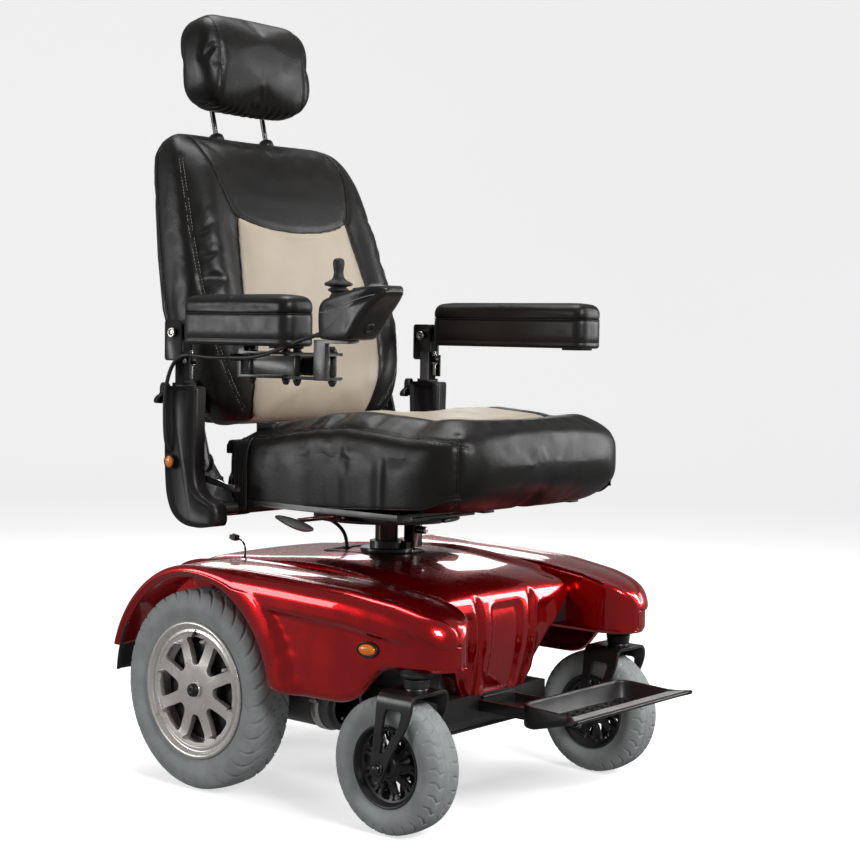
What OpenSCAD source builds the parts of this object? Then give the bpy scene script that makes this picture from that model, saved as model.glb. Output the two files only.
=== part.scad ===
// Mid-size power wheelchair with a swivelling captain's seat.
// The front is -Y, the user's left is +X, and the tyres stand on z = 0.
// The origin is under the middle of the whole chair, on the ground.

/* [Wheels] */
// Radius of the drive tyres
drive_r = 178; // [170:1:182]
// Width of the drive tyres
drive_w = 80; // [70:1:84]
// Half of the track between the drive wheels' middles
track_half = 300; // [298:1:304]
// Radius of the caster tyres
caster_r = 114; // [105:1:116]
// Width of the caster tyres
caster_w = 68; // [60:1:70]
// Distance of the drive axle behind the middle of the chair
axle_y = 205; // [203:1:207]

/* [Seat] */
// Overall width of the seat cushion
seat_w = 516; // [480:4:520]
// Height of the underside of the seat cushion
seat_z = 515; // [514:1:516]
// Tilt of the backrest from upright, in degrees
recline = 14; // [12:0.5:16]
// Width of the backrest at its widest
back_w = 566; // [540:2:570]

/* [Arms] */
// Length of the left arm pad
pad_left_l = 374; // [350:1:380]
// Length of the right arm pad, shorter to make room for the joystick
pad_right_l = 260; // [240:1:262]
// Width of each arm pad
pad_w = 75; // [70:1:76]

/* [Hidden] */
$fn = 64;

LEFT = 1;
RIGHT = -1;
skin = 4;            // thickness of the plastic body panels
run_gap = 0.05;      // radial clearance of a shaft that turns or slides
slide_gap = 0.3;     // clearance beside a flat sliding or turning face

black = [0.06, 0.06, 0.065];
steel_black = [0.1, 0.1, 0.105];
candy_red = [0.5, 0.01, 0.02];
tyre_grey = [0.5, 0.52, 0.53];
silver = [0.75, 0.74, 0.72];
amber = [1, 0.35, 0.02];
leather = [0.08, 0.075, 0.07];

// Drive wheels
rim_r = 118;
shaft_r = 12;
shaft_in_x = 215;
rim_face_x = track_half + 34;
window_in_r = 42;
window_out_r = 96;
spokes = 8;
spoke_w = 22;

// Casters
stem_x = 287;
stem_y = axle_y - 480;
trail = 41;
caster_axle_y = stem_y + trail;
stem_r = 12;
stem_top_z = 336;
crown_z = 244;
crown_t = 10;
housing_z = 264;
fork_leg_x = 42;     // inner face of a fork leg from the wheel's middle
fork_leg_t = 6;
caster_rim_r = 66;
caster_pin_r = 6;

// Chassis
rail_x = 112;
rail_w = 30;
rail_z = 150;
rail_h = 40;
rail_front_y = -215;
rail_rear_y = 415;
beam_d = 35;
beam_z = 290;
beam_h = 40;
upright_x = 48;
upright_w = 28;
battery_w = 198;
battery_l = 166;
battery_h = 171;
battery_z = 122;
motor_x = 200;
motor_z = 165;
motor_r = 42;
motor_front_y = -35;
gearbox_x = 250;
lever_y = axle_y - 30;
lever_z = 241;
controller_z = rail_z + rail_h + 5;

// Anti-tip wheels
tip_r = 45;
tip_w = 26;
tip_x = 127;
tip_y = 460;
tip_z = 68;
tip_pin_r = 5;

// Body panels
arch_r = 203;        // inside radius of the wheel arch
panel_x = 345;       // outer face of the side panels
pod_in_x = 205;      // inner wall of the front pods
deck_half = 200;
nose_y = -248;

// Footplate
foot_hinge_y = -338;
foot_hinge_z = 174;
foot_pin_r = 6;
foot_half = 150;
foot_front_y = -505;
foot_floor = 6;

// Post, swivel and slide rails
post_y = 50;
post_r = 21;
post_low_z = 150;
socket_r = 31;
socket_low_z = 122;
socket_top_z = 432;
disc_r = 135;
disc_z = 474;
disc_t = 6;
spindle_r = 14;
plate_z = disc_z + disc_t + slide_gap;
plate_t = 5.4;
rail_block_x = 100;
rail_block_w = 30;
rail_block_h = 8;
slider_z = plate_z + plate_t + rail_block_h + slide_gap;
swivel_pin_x = -148;
swivel_pin_z = 487;
swivel_pin_r = 4;
arm_tube_y = 185;
arm_tube_z = 498;
arm_tube_r = 11;

// Backrest: its hinge, and its own axes along and across the tilt
hinge_y = 260;
hinge_z = 575;
hinge_pin_r = 8;
hinge_plate_x = 255;
hinge_plate_t = 5;
head_post_x = 67;
head_post_r = 5;
head_w = 284;
head_y = 436;
head_z = 1328;
head_tilt = 8;
head_post_y = 34;    // behind the backrest's own middle plane

// Arms
arm_x = 335;
arm_low_z = 789;
arm_split_z = 843;
arm_top_z = 869;
arm_rear_y = 205;
column_x = 310;
column_w = 42;
column_top_z = 715;
tube_w = 24;
tube_y = 238;
tube_low_z = 545;
pivot_y = 247;
pivot_z = 809;
pivot_pin_r = 5;
tongue_half = 5.7;
knob_z = 697;

// Swing-away joystick: four upright pins, a parallelogram in plan
link_l = 108;
pin_a = [-322, 76];
pin_b = [-300, 16];
pin_c = pin_a - [0, link_l];
pin_d = pin_b - [0, link_l];
link_low_z = 741;
link_top_z = 774;
link_pin_r = 4;
link_barrel_r = 7;

// Joystick
stick_x = -330;
stick_y = -132;
stick_pivot_z = 858;
panel_tilt = 10;     // slope of the joystick's key panel, in degrees
key_r = 6;
dial_r = 9;

// Tubes of the wires: points chosen by hand, in millimetres
harness_d = 7;
harness_path = [
    [-4, 146, 411], [-5, 147, 424], [-9, 149, 437], [-17, 153, 449],
    [-29, 158, 459], [-44, 162, 466], [-56, 164, 471], [-60, 165, 474]
];
lead_d = 4;
lead_path = [
    [-186, 232, 388], [-186, 232, 398], [-186, 231, 406], [-186, 231, 413], [-186, 232, 419],
    [-186, 235, 424], [-186, 240, 428], [-186, 247, 431], [-186, 253, 432]
];
cable_d = 7;
cable_path = [
    [-357, 96, 769], [-357, 112, 768], [-358, 128, 768], [-358, 144, 768],
    [-359, 160, 769], [-359, 175, 770], [-360, 190, 771]
];

// ---------- helpers ----------

// Extrudes a side view, drawn as (y, z), from one x to another.
module across(x_from, x_to) {
    translate([x_from, 0, 0])
        rotate([90, 0, 90])
            linear_extrude(x_to - x_from) children();
}

// Extrudes a front view, drawn as (x, z), from one y to another.
module along(y_from, y_to) {
    translate([0, y_to, 0])
        rotate([90, 0, 0])
            linear_extrude(y_to - y_from) children();
}

// Extrudes a plan, drawn as (x, y), from one height to another.
module upright(z_from, z_to) {
    translate([0, 0, z_from])
        linear_extrude(z_to - z_from) children();
}

// A box given by its lowest and highest corners.
module box(low, high) {
    translate(low) cube(high - low);
}

// A rod along X between two x values.
module rod_x(x_from, x_to, y, z, r) {
    translate([x_from, y, z])
        rotate([0, 90, 0])
            cylinder(h = x_to - x_from, r = r);
}

// A rod along Y between two y values.
module rod_y(y_from, y_to, x, z, r) {
    translate([x, y_to, z])
        rotate([90, 0, 0])
            cylinder(h = y_to - y_from, r = r);
}

// An upright rod between two heights.
module rod_z(z_from, z_to, x, y, r) {
    translate([x, y, z_from]) cylinder(h = z_to - z_from, r = r);
}

// A rectangle with round corners, centred on the origin.
module round_rect(w, h, r) {
    square([w - 2 * r, h], center = true);
    square([w, h - 2 * r], center = true);
    for (x = [-1, 1], y = [-1, 1])
        translate([x * (w / 2 - r), y * (h / 2 - r)]) circle(r);
}

// Shapes are drawn on the user's left and mirrored for the right.
module on_side(side) {
    if (side == LEFT) children();
    else mirror([1, 0, 0]) children();
}

function unit(v) = v / norm(v);

// Direction of a path at point i, from its neighbours.
function heading(path, i) =
    unit(path[min(i + 1, len(path) - 1)] - path[max(i - 1, 0)]);

// A ring of points around a path's point, square to its heading.
function ring(path, i, r, sides) =
    let (
        d = heading(path, i),
        a = unit(cross(d, abs(d[2]) > 0.9 ? [1, 0, 0] : [0, 0, 1])),
        b = cross(d, a)
    )
    [for (k = [0:sides - 1]) path[i] + r * (cos(360 * k / sides) * a + sin(360 * k / sides) * b)];

// A closed tube swept along a path.
module tube(path, d, sides = 8) {
    rings = len(path);
    points = [for (i = [0:rings - 1]) each ring(path, i, d / 2, sides)];
    walls = [
        for (i = [0:rings - 2], k = [0:sides - 1])
            [
                i * sides + k, (i + 1) * sides + k,
                (i + 1) * sides + (k + 1) % sides, i * sides + (k + 1) % sides
            ]
    ];
    start = [for (k = [0:sides - 1]) k];
    end = [for (k = [0:sides - 1]) rings * sides - 1 - k];
    polyhedron(points, concat(walls, [start], [end]));
}

// ---------- chassis ----------

module frame() {
    color(steel_black) difference() {
        union() {
            for (side = [LEFT, RIGHT]) on_side(side) frame_half();
            box([-rail_x, rail_front_y, rail_z], [rail_x, rail_front_y + 30, rail_z + rail_h]);
            box([-rail_x, rail_rear_y - 30, rail_z], [rail_x, rail_rear_y, rail_z + rail_h]);
            box([-300, rail_front_y, beam_z], [300, rail_front_y + beam_d, beam_z + beam_h]);
            // tray under the batteries
            box([-rail_x - 4, -170, 114], [rail_x + 4, 275, battery_z - 4]);
            // plate under the controller
            box([-rail_x - 20, 280, rail_z + rail_h], [rail_x + 20, 380, controller_z]);
            // cross plate that holds the post socket
            box([-rail_x, post_y - 24, rail_z + 60], [rail_x, post_y + 24, rail_z + 66]);
        }
        rod_z(rail_z, rail_z + 80, 0, post_y, socket_r + slide_gap);
    }
}

module frame_half() {
    difference() {
        union() {
            box([rail_x, rail_front_y, rail_z], [rail_x + rail_w, rail_rear_y, rail_z + rail_h]);
            // upright from the front cross rail to the front beam
            box([upright_x, rail_front_y + 11, rail_z + rail_h], [upright_x + upright_w, rail_front_y + beam_d, beam_z]);
            // tray hangers
            box([rail_x, -170, 114], [rail_x + 4, 275, rail_z]);
            // uprights of the post plate
            box([rail_x, post_y - 24, rail_z + rail_h], [rail_x + 6, post_y + 24, rail_z + 66]);
            // arm forward to the caster housing
            box([stem_x - 22, stem_y, beam_z], [stem_x + 7, rail_front_y + beam_d, beam_z + beam_h]);
            rod_z(housing_z, 340, stem_x, stem_y, 26);
            // motor seat
            box([rail_x + rail_w, axle_y - 50, rail_z], [rail_x + rail_w + 13, axle_y + 50, rail_z + rail_h]);
            // anti-tip arm, beside its wheel
            across(tip_x - 21, tip_x - 15) tip_arm();
            across(tip_x + 15, tip_x + 21) tip_arm();
            rod_x(tip_x - 24, tip_x + 24, tip_y, tip_z, tip_pin_r);
        }
        rod_z(housing_z - 1, 341, stem_x, stem_y, stem_r + run_gap);
    }
}

module tip_arm() {
    polygon([
        [rail_rear_y - 40, rail_z + rail_h], [rail_rear_y, rail_z + rail_h],
        [tip_y + 12, tip_z + 6], [tip_y + 4, tip_z - 12], [tip_y - 12, tip_z - 8],
        [rail_rear_y - 40, rail_z]
    ]);
}

module batteries() {
    color([0.2, 0.2, 0.22])
        for (y = [post_y - 50 - battery_l, post_y + 50]) {
            box([-battery_w / 2, y, battery_z - 4 + slide_gap],
                [battery_w / 2, y + battery_l, battery_z + battery_h]);
            for (x = [-70, 70])
                rod_z(battery_z + battery_h, battery_z + battery_h + 12, x, y + 30, 8);
        }
}

module controller() {
    color([0.15, 0.15, 0.16]) {
        box([-80, 285, controller_z], [80, 375, controller_z + 50]);
        // cooling fins
        for (x = [-72:18:72])
            box([x - 2, 290, 245], [x + 2, 370, 258]);
    }
}

module motor(side) {
    color([0.25, 0.25, 0.26]) on_side(side) difference() {
        union() {
            rod_y(motor_front_y, axle_y - 55, motor_x, motor_z, motor_r);
            rod_y(motor_front_y - 8, motor_front_y, motor_x, motor_z, 34);
            across(motor_x - 44, gearbox_x)
                translate([axle_y, drive_r]) round_rect(116, 112, 30);
            rod_z(drive_r + 50, lever_z - 5, motor_x, lever_y, 12);
        }
        rod_x(shaft_in_x - 1, gearbox_x + 1, axle_y, drive_r, shaft_r + run_gap);
    }
}

// Red lever on top of each gearbox that frees the wheel from its motor.
module release_lever(side) {
    color([0.7, 0.05, 0.04]) on_side(side) union() {
        rod_z(lever_z, lever_z + 8, motor_x, lever_y, 13);
        upright(lever_z, lever_z + 6)
            translate([motor_x, lever_y])
                polygon([[-9, 0], [9, 0], [7, 62], [-7, 62]]);
        rod_z(lever_z, lever_z + 10, motor_x, lever_y + 62, 9);
    }
}

module post_socket() {
    color(black) difference() {
        union() {
            rod_z(socket_low_z, socket_top_z, 0, post_y, socket_r);
            rod_z(412, 419, 0, post_y, 48);
            // height lock beside the post
            box([26, post_y - 44, 419], [50, post_y - 20, 468]);
            box([10, post_y - 40, 419], [40, post_y - 18, 430]);
            rod_y(post_y - 62, post_y - 44, 38, 452, 7);
        }
        rod_z(socket_low_z - 1, socket_top_z + 40, 0, post_y, post_r + run_gap);
    }
}

// ---------- body panels ----------

// Top line of the body from the side, front to rear.
function top_line() = [
    [-340, 280], [-340, 322], [-330, 345], [-308, 364], [-270, 378], [-150, 392],
    [0, 398], [100, 400], [210, 400]
];

// Plan of a front pod: it narrows to a round nose.
module pod_plan(inset = 0) {
    polygon([
        [pod_in_x - skin + inset, 400], [pod_in_x - skin + inset, -318], [216, -334 + inset],
        [240, -340 + inset], [268 - inset, -338 + inset], [292 - inset, -326 + inset],
        [308 - inset, -306], [320 - inset, -270], [332 - inset, -200],
        [340 - inset, -130], [panel_x - inset, -60], [panel_x - inset, 400]
    ]);
}

// Side view of a side panel, before the wheel arch is cut from it.
module side_outline(inset = 0) {
    top = [for (p = top_line()) [max(p[0], -340 + inset), p[1] - inset]];
    polygon(concat(top, [
        [300, 378 - inset], [360, 320 - inset], [385, 262], [396, 218], [372, 214],
        [axle_y, 180], [-18, 206], [-140, 206], [-180, 226], [-225, 272]
    ]));
}

module side_shroud(side) {
    color(candy_red) on_side(side) {
        // outer wall, round the front of the pod
        difference() {
            intersection() {
                across(pod_in_x, panel_x) side_outline();
                upright(190, 410) difference() {
                    pod_plan();
                    pod_plan(skin);
                }
            }
            rod_x(200, 400, axle_y, drive_r, arch_r);
        }
        // top skin
        intersection() {
            across(pod_in_x - skin, panel_x) difference() {
                side_outline();
                side_outline(skin);
            }
            upright(278, 410) pod_plan(skin);
        }
        // mudguard over the tyre
        across(250, panel_x - skin) difference() {
            translate([axle_y, drive_r]) circle(arch_r + skin);
            translate([axle_y, drive_r]) circle(arch_r);
            translate([axle_y - 250, drive_r - 250]) square([500, 280]);
            translate([axle_y - 250, drive_r]) square([70, 95]);
        }
    }
}

module deck_profile(inset = 0) {
    polygon([
        [nose_y + 20 + inset, 183], [nose_y + 4 + inset, 240], [nose_y + inset, 300],
        [nose_y + 8 + inset, 352], [nose_y + 34 + inset, 380 - inset],
        [-100, 398 - inset], [0, 408 - inset], [post_y, 411 - inset], [130, 408 - inset],
        [230, 399 - inset], [340, 392 - inset], [400 - inset, 368 - inset], [412 - inset, 330],
        [408 - inset, 250], [408, 240], [408, 183]
    ]);
}

module deck_shroud() {
    color(candy_red) difference() {
        intersection() {
            across(-deck_half, deck_half) difference() {
                deck_profile();
                deck_profile(skin);
                translate([380, 180]) square([40, 60]);
            }
            // the nose narrows towards its foot
            along(-260, 420)
                polygon([
                    [-100, 183], [100, 183], [128, 255], [150, 300], [deck_half, 340],
                    [deck_half, 420], [-deck_half, 420], [-deck_half, 340],
                    [-150, 300], [-128, 255]
                ]);
        }
        rod_z(390, 430, 0, post_y, socket_r + slide_gap);
        rod_z(390, 430, harness_path[0][0], harness_path[0][1], harness_d / 2 + 1);
        rod_z(390, 430, lead_path[0][0], lead_path[0][1], lead_d / 2 + 1);
    }
}

module side_lamps() {
    color(amber)
        for (side = [LEFT, RIGHT]) on_side(side)
            rotate([0, 0, -5]) across(353, 360)
                translate([-173, 301]) round_rect(38, 24, 11);
}

// ---------- footplate ----------

// Two arms reach forward from the frame and carry the hinge rod between them.
module footplate_bracket() {
    color(steel_black) {
        for (x = [-50, 44]) {
            box([x, foot_hinge_y, 160], [x + 6, rail_front_y, 180]);
            rod_x(x, x + 6, foot_hinge_y, foot_hinge_z, 14);
        }
        box([-50, -262, 160], [50, -236, 166]);
        rod_x(-44, 44, foot_hinge_y, foot_hinge_z, foot_pin_r);
        box([-44, rail_front_y - 6, 160], [44, rail_front_y, 186]);
    }
}

// A shallow tray with a wall at its heel side and a lip that rises to the front.
module footplate() {
    color(black) {
        difference() {
            intersection() {
                across(-200, 200)
                    polygon([
                        [-375, 174], [-375, 212], [-480, 208], [foot_front_y, 206],
                        [foot_front_y, 200], [-416, 174]
                    ]);
                upright(170, 220)
                    polygon([
                        [-foot_half, -375], [-foot_half, -480], [-178, foot_front_y],
                        [178, foot_front_y], [foot_half, -480], [foot_half, -375]
                    ]);
            }
            across(foot_floor - foot_half, foot_half - foot_floor)
                polygon([
                    [-381, 174 + foot_floor], [-381, 230], [-470, 230], [-470, 199],
                    [-421, 174 + foot_floor]
                ]);
        }
        // hinge ears behind the tray
        for (x = [-40, 28])
            difference() {
                union() {
                    rod_x(x, x + 12, foot_hinge_y, foot_hinge_z, 11);
                    box([x, -376, 174], [x + 12, foot_hinge_y, 185]);
                }
                rod_x(x - 1, x + 13, foot_hinge_y, foot_hinge_z, foot_pin_r + run_gap);
            }
    }
}

// ---------- wheels ----------

module drive_tyre(side) {
    color(tyre_grey) on_side(side)
        translate([track_half, axle_y, drive_r]) rotate([0, 90, 0])
            rotate_extrude($fn = 96)
                translate([(drive_r + rim_r) / 2, 0])
                    round_rect(drive_r - rim_r, drive_w, 24);
}

// Slots between the spokes of a wheel's disc.
module windows(r_in, r_out, count, width) {
    difference() {
        circle(r_out);
        circle(r_in);
        for (i = [0:count - 1])
            rotate(360 * i / count) translate([0, -width / 2]) square([r_out + 5, width]);
    }
}

module drive_rim(side) {
    color(silver) on_side(side) translate([0, axle_y, drive_r]) rotate([0, 90, 0])
        union() {
            translate([0, 0, track_half - 32]) linear_extrude(64) difference() {
                circle(rim_r);
                circle(rim_r - 10);
            }
            translate([0, 0, rim_face_x - 12]) linear_extrude(10) difference() {
                circle(rim_r - 10);
                windows(window_in_r, window_out_r, spokes, spoke_w);
            }
            translate([0, 0, rim_face_x - 2]) linear_extrude(4) difference() {
                circle(rim_r - 2);
                circle(rim_r - 20);
            }
            translate([0, 0, 255]) cylinder(h = rim_face_x - 255, r = 30);
            translate([0, 0, rim_face_x]) cylinder(h = 8, r = 16);
            translate([0, 0, shaft_in_x]) cylinder(h = 45, r = shaft_r);
        }
}

module caster_fork(side) {
    color(black) on_side(side) {
        rod_z(crown_z, stem_top_z, stem_x, stem_y, stem_r);
        rod_z(crown_z, housing_z - 3, stem_x, stem_y, 19);
        upright(crown_z - crown_t, crown_z) translate([stem_x, stem_y + 6])
            round_rect(2 * (fork_leg_x + fork_leg_t), 66, 14);
        for (s = [-1, 1])
            across(stem_x + s * (fork_leg_x + fork_leg_t / 2) - fork_leg_t / 2,
                   stem_x + s * (fork_leg_x + fork_leg_t / 2) + fork_leg_t / 2)
                fork_leg();
        rod_x(stem_x - fork_leg_x - 12, stem_x + fork_leg_x + 12, caster_axle_y, caster_r, caster_pin_r);
    }
}

// A leg is a plate that narrows to the axle, with a long slot in it.
module fork_leg() {
    difference() {
        union() {
            polygon([
                [stem_y - 26, crown_z], [stem_y + 38, crown_z],
                [caster_axle_y + 14, caster_r], [caster_axle_y - 14, caster_r - 2]
            ]);
            translate([caster_axle_y, caster_r]) circle(15);
        }
        polygon([
            [stem_y + 4, crown_z - 28], [stem_y + 20, crown_z - 28],
            [caster_axle_y - 1, caster_r + 26], [caster_axle_y - 5, caster_r + 26]
        ]);
    }
}

module caster_tyre(side) {
    color(tyre_grey) on_side(side)
        translate([stem_x, caster_axle_y, caster_r]) rotate([0, 90, 0])
            rotate_extrude($fn = 96)
                translate([(caster_r + caster_rim_r) / 2, 0])
                    round_rect(caster_r - caster_rim_r, caster_w, 22);
}

module caster_rim(side) {
    color(black) on_side(side)
        translate([stem_x, caster_axle_y, caster_r]) rotate([0, 90, 0])
            translate([0, 0, -28]) linear_extrude(56) difference() {
                circle(caster_rim_r);
                windows(24, caster_rim_r - 10, 9, 7);
                circle(caster_pin_r + run_gap);
            }
}

module tip_wheel(side) {
    color([0.12, 0.12, 0.12]) on_side(side)
        translate([tip_x, tip_y, tip_z]) rotate([0, 90, 0])
            translate([0, 0, -tip_w / 2]) linear_extrude(tip_w) difference() {
                circle(tip_r);
                circle(tip_pin_r + run_gap);
            }
}

// ---------- post, swivel and slide ----------

// The post carries the lower disc of the swivel, with its locking notches.
module seat_post() {
    color([0.12, 0.12, 0.125]) {
        rod_z(post_low_z, disc_z, 0, post_y, post_r);
        translate([0, post_y, disc_z]) linear_extrude(disc_t) difference() {
            circle(disc_r);
            for (a = [0:45:315])
                rotate(a) translate([disc_r - 5, -5]) square([10, 10]);
        }
        rod_z(disc_z + disc_t, slider_z - 1, 0, post_y, spindle_r);
    }
}

module seat_harness() {
    color(black) tube(harness_path, harness_d);
}

// Short lead for the rear light, with its connector, left out of the deck.
module service_lead() {
    color(black) {
        tube(lead_path, lead_d);
        translate(lead_path[len(lead_path) - 1]) rotate([8, 0, 0])
            translate([-6, -1, -6]) cube([12, 18, 12]);
    }
}

module swivel_plate() {
    color(steel_black) union() {
        translate([0, post_y, plate_z]) linear_extrude(plate_t) difference() {
            translate([0, -20]) round_rect(240, 200, 15);
            circle(spindle_r + run_gap);
        }
        for (side = [LEFT, RIGHT]) on_side(side)
            box([rail_block_x, -100, plate_z + plate_t],
                [rail_block_x + rail_block_w, 110, plate_z + plate_t + rail_block_h]);
        // ears for the pin of the swivel lever, just outside the lower disc
        for (y = [24, 44])
            difference() {
                along(y, y + 6)
                    polygon([
                        [-118, plate_z], [-118, plate_z + plate_t + 5], [swivel_pin_x + 4, swivel_pin_z + 8],
                        [swivel_pin_x - 8, swivel_pin_z + 6], [swivel_pin_x - 8, swivel_pin_z - 8],
                        [swivel_pin_x + 8, swivel_pin_z - 8], [swivel_pin_x + 11, plate_z]
                    ]);
                rod_y(y - 1, y + 7, swivel_pin_x, swivel_pin_z, swivel_pin_r + run_gap);
            }
    }
}

// Lever under the seat that lifts the pawl out of the swivel's notches.
module swivel_lever() {
    color([0.22, 0.22, 0.22]) {
        rod_y(20, 54, swivel_pin_x, swivel_pin_z, swivel_pin_r);
        box([-250, 34, swivel_pin_z - 4], [swivel_pin_x, 40, swivel_pin_z + 4]);
        across(-266, -236)
            translate([43, swivel_pin_z])
                polygon([[-42, -10], [-30, -14], [24, -6], [40, 0], [42, 5], [30, 7], [-32, -1]]);
    }
}

module slide_lever() {
    color(silver) {
        rod_x(-262, -214, 236, 508, 4);
        across(-270, -262) polygon([[232, 503], [240, 503], [240, 513], [206, 506], [206, 502]]);
    }
}

// ---------- seat ----------

module seat_frame() {
    color(steel_black) {
        for (side = [LEFT, RIGHT]) on_side(side) {
            box([rail_block_x, -90, slider_z], [rail_block_x + rail_block_w, 100, seat_z - 6]);
            box([hinge_plate_x - 25, -200, seat_z - 10], [hinge_plate_x, 220, seat_z]);
            difference() {
                across(hinge_plate_x, hinge_plate_x + hinge_plate_t)
                    union() {
                        polygon([[172, 495], [262, 495], [278, 575], [242, 575]]);
                        translate([hinge_y, hinge_z]) circle(18);
                        translate([236, 508]) circle(8);
                    }
                rod_x(hinge_plate_x - 1, hinge_plate_x + hinge_plate_t + 1,
                      hinge_y, hinge_z, hinge_pin_r + run_gap);
                rod_x(hinge_plate_x - 1, hinge_plate_x + hinge_plate_t + 1,
                      226, 548, 5 + run_gap);
                rod_x(hinge_plate_x - 1, hinge_plate_x + hinge_plate_t + 1,
                      236, 508, 4 + run_gap);
            }
        }
        // pan that carries the cushion
        box([-hinge_plate_x, -200, seat_z - 6], [hinge_plate_x, 160, seat_z]);
        box([-hinge_plate_x, 160, seat_z - 10], [hinge_plate_x, 172, seat_z]);
        rod_x(-column_x, column_x, arm_tube_y, arm_tube_z, arm_tube_r);
    }
}

// Side view of the seat cushion: the front edge is full and the rear is lower.
module seat_side() {
    polygon([
        [215, seat_z], [214, 606], [190, 622], [130, 636], [60, 652], [-100, 668],
        [-230, 668], [-290, 660], [-325, 640], [-336, 605], [-330, 560],
        [-300, 530], [-250, seat_z]
    ]);
}

module seat_cushion() {
    color(leather) intersection() {
        across(-seat_w / 2, seat_w / 2) seat_side();
        upright(seat_z, 700) union() {
            translate([0, 80]) round_rect(seat_w, 270, 44);
            translate([0, -86]) round_rect(seat_w, 500, 95);
        }
    }
}

// ---------- backrest and headrest ----------

// Moves to the backrest's own axes: x across, y to the rear, z up along its tilt.
module leaning() {
    translate([0, hinge_y, hinge_z]) rotate([-recline, 0, 0]) children();
}

module back_frame() {
    color(steel_black) {
        for (side = [LEFT, RIGHT]) on_side(side) {
            rod_x(hinge_plate_x - 4, hinge_plate_x + hinge_plate_t + 8, hinge_y, hinge_z, hinge_pin_r);
            leaning() {
                across(hinge_plate_x + hinge_plate_t + slide_gap, hinge_plate_x + hinge_plate_t + 6)
                    union() {
                        circle(17);
                        polygon([[-17, 0], [17, 0], [22, 150], [-10, 150]]);
                    }
                box([200, 2, 90], [hinge_plate_x + hinge_plate_t + 6, 16, 150]);
                box([185, 2, 90], [205, 16, 590]);
            }
        }
        leaning() {
            box([-205, 2, 575], [205, 16, 590]);
            box([-205, 2, 110], [205, 16, 125]);
        }
    }
}

module back_cushion() {
    color(leather) leaning() difference() {
        intersection() {
            across(-back_w / 2, back_w / 2)
                polygon([
                    [-42, 68], [-58, 110], [-70, 200], [-74, 300], [-60, 480], [-44, 560],
                    [-20, 618], [10, 636], [44, 630], [58, 600], [60, 300], [56, 110], [44, 72]
                ]);
            along(-90, 90)
                polygon([
                    [-205, 62], [205, 62], [238, 95], [268, 170], [back_w / 2, 250],
                    [back_w / 2, 320], [274, 420], [254, 560], [242, 610], [216, 640],
                    [-216, 640], [-242, 610], [-254, 560], [-274, 420],
                    [-back_w / 2, 320], [-back_w / 2, 250], [-268, 170], [-238, 95]
                ]);
        }
        for (x = [-head_post_x, head_post_x])
            rod_z(500, 700, x, head_post_y, head_post_r + 1);
    }
}

module recline_lever() {
    color(silver) {
        rod_x(-290, -250, 226, 548, 5);
        across(-290, -284) polygon([
            [234, 556], [222, 556], [160, 540], [160, 532], [222, 541], [234, 544]
        ]);
    }
}

module headrest_posts() {
    color(silver) leaning()
        for (x = [-head_post_x, head_post_x])
            rod_z(505, 700, x, head_post_y, head_post_r);
}

module headrest_cushion() {
    color(leather) translate([0, head_y, head_z]) rotate([-head_tilt, 0, 0])
        intersection() {
            across(-head_w / 2, head_w / 2) polygon([
                [-40, -78], [-48, -40], [-46, 40], [-36, 76], [-8, 92],
                [26, 88], [44, 68], [48, 30], [44, -70], [20, -90], [-20, -92]
            ]);
            along(-60, 60) round_rect(head_w, 184, 52);
        }
}

// ---------- arms ----------

// Side view of an arm column: upright above, curving forward at its foot.
module column_side() {
    union() {
        polygon([[206, 540], [204, column_top_z], [270, column_top_z], [262, 560], [240, 500], [206, 500]]);
        difference() {
            translate([205, 530]) circle(58);
            translate([100, 530]) square([105, 70]);
            translate([100, 510]) square([62, 70]);
            translate([100, 440]) square([48, 70]);
        }
    }
}

module arm_column(side) {
    color(black) on_side(side) difference() {
        across(column_x, column_x + column_w) column_side();
        translate([column_x + column_w / 2, tube_y, 620])
            cube([tube_w + 2 * slide_gap, tube_w + 2 * slide_gap, 220], center = true);
        rod_y(240, 280, column_x + column_w / 2, knob_z, 5 + run_gap);
    }
}

module column_lamps() {
    color(amber)
        for (side = [LEFT, RIGHT]) on_side(side)
            rod_x(column_x + column_w, column_x + column_w + 5, 252, 582, 10);
}

module arm_post(side) {
    color(black) on_side(side) {
        x_mid = column_x + column_w / 2;
        box([x_mid - tube_w / 2, tube_y - tube_w / 2, tube_low_z],
            [x_mid + tube_w / 2, tube_y + tube_w / 2, 776]);
        for (s = [-1, 1])
            across(arm_x + s * 12 - 4, arm_x + s * 12 + 4)
                translate([pivot_y, 796]) round_rect(42, 72, 6);
        rod_x(arm_x - 20, arm_x + 20, pivot_y, pivot_z, pivot_pin_r);
        // screw that sets the arm's angle
        rod_z(728, 775, x_mid, tube_y - 17, 4);
        box([x_mid - 5, tube_y - 24, 755], [x_mid + 5, tube_y - 8, 767]);
    }
}

module arm_knob(side) {
    color(black) on_side(side) {
        x_mid = column_x + column_w / 2;
        rod_y(252, 284, x_mid, knob_z, 5);
        translate([x_mid, 296, knob_z]) rotate([90, 0, 0]) linear_extrude(14) {
            circle(9);
            for (a = [90, 210, 330])
                rotate(a) {
                    translate([0, -6]) square([16, 12]);
                    translate([16, 0]) circle(7);
                }
        }
    }
}

function pad_length(side) = side == LEFT ? pad_left_l : pad_right_l;

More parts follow.
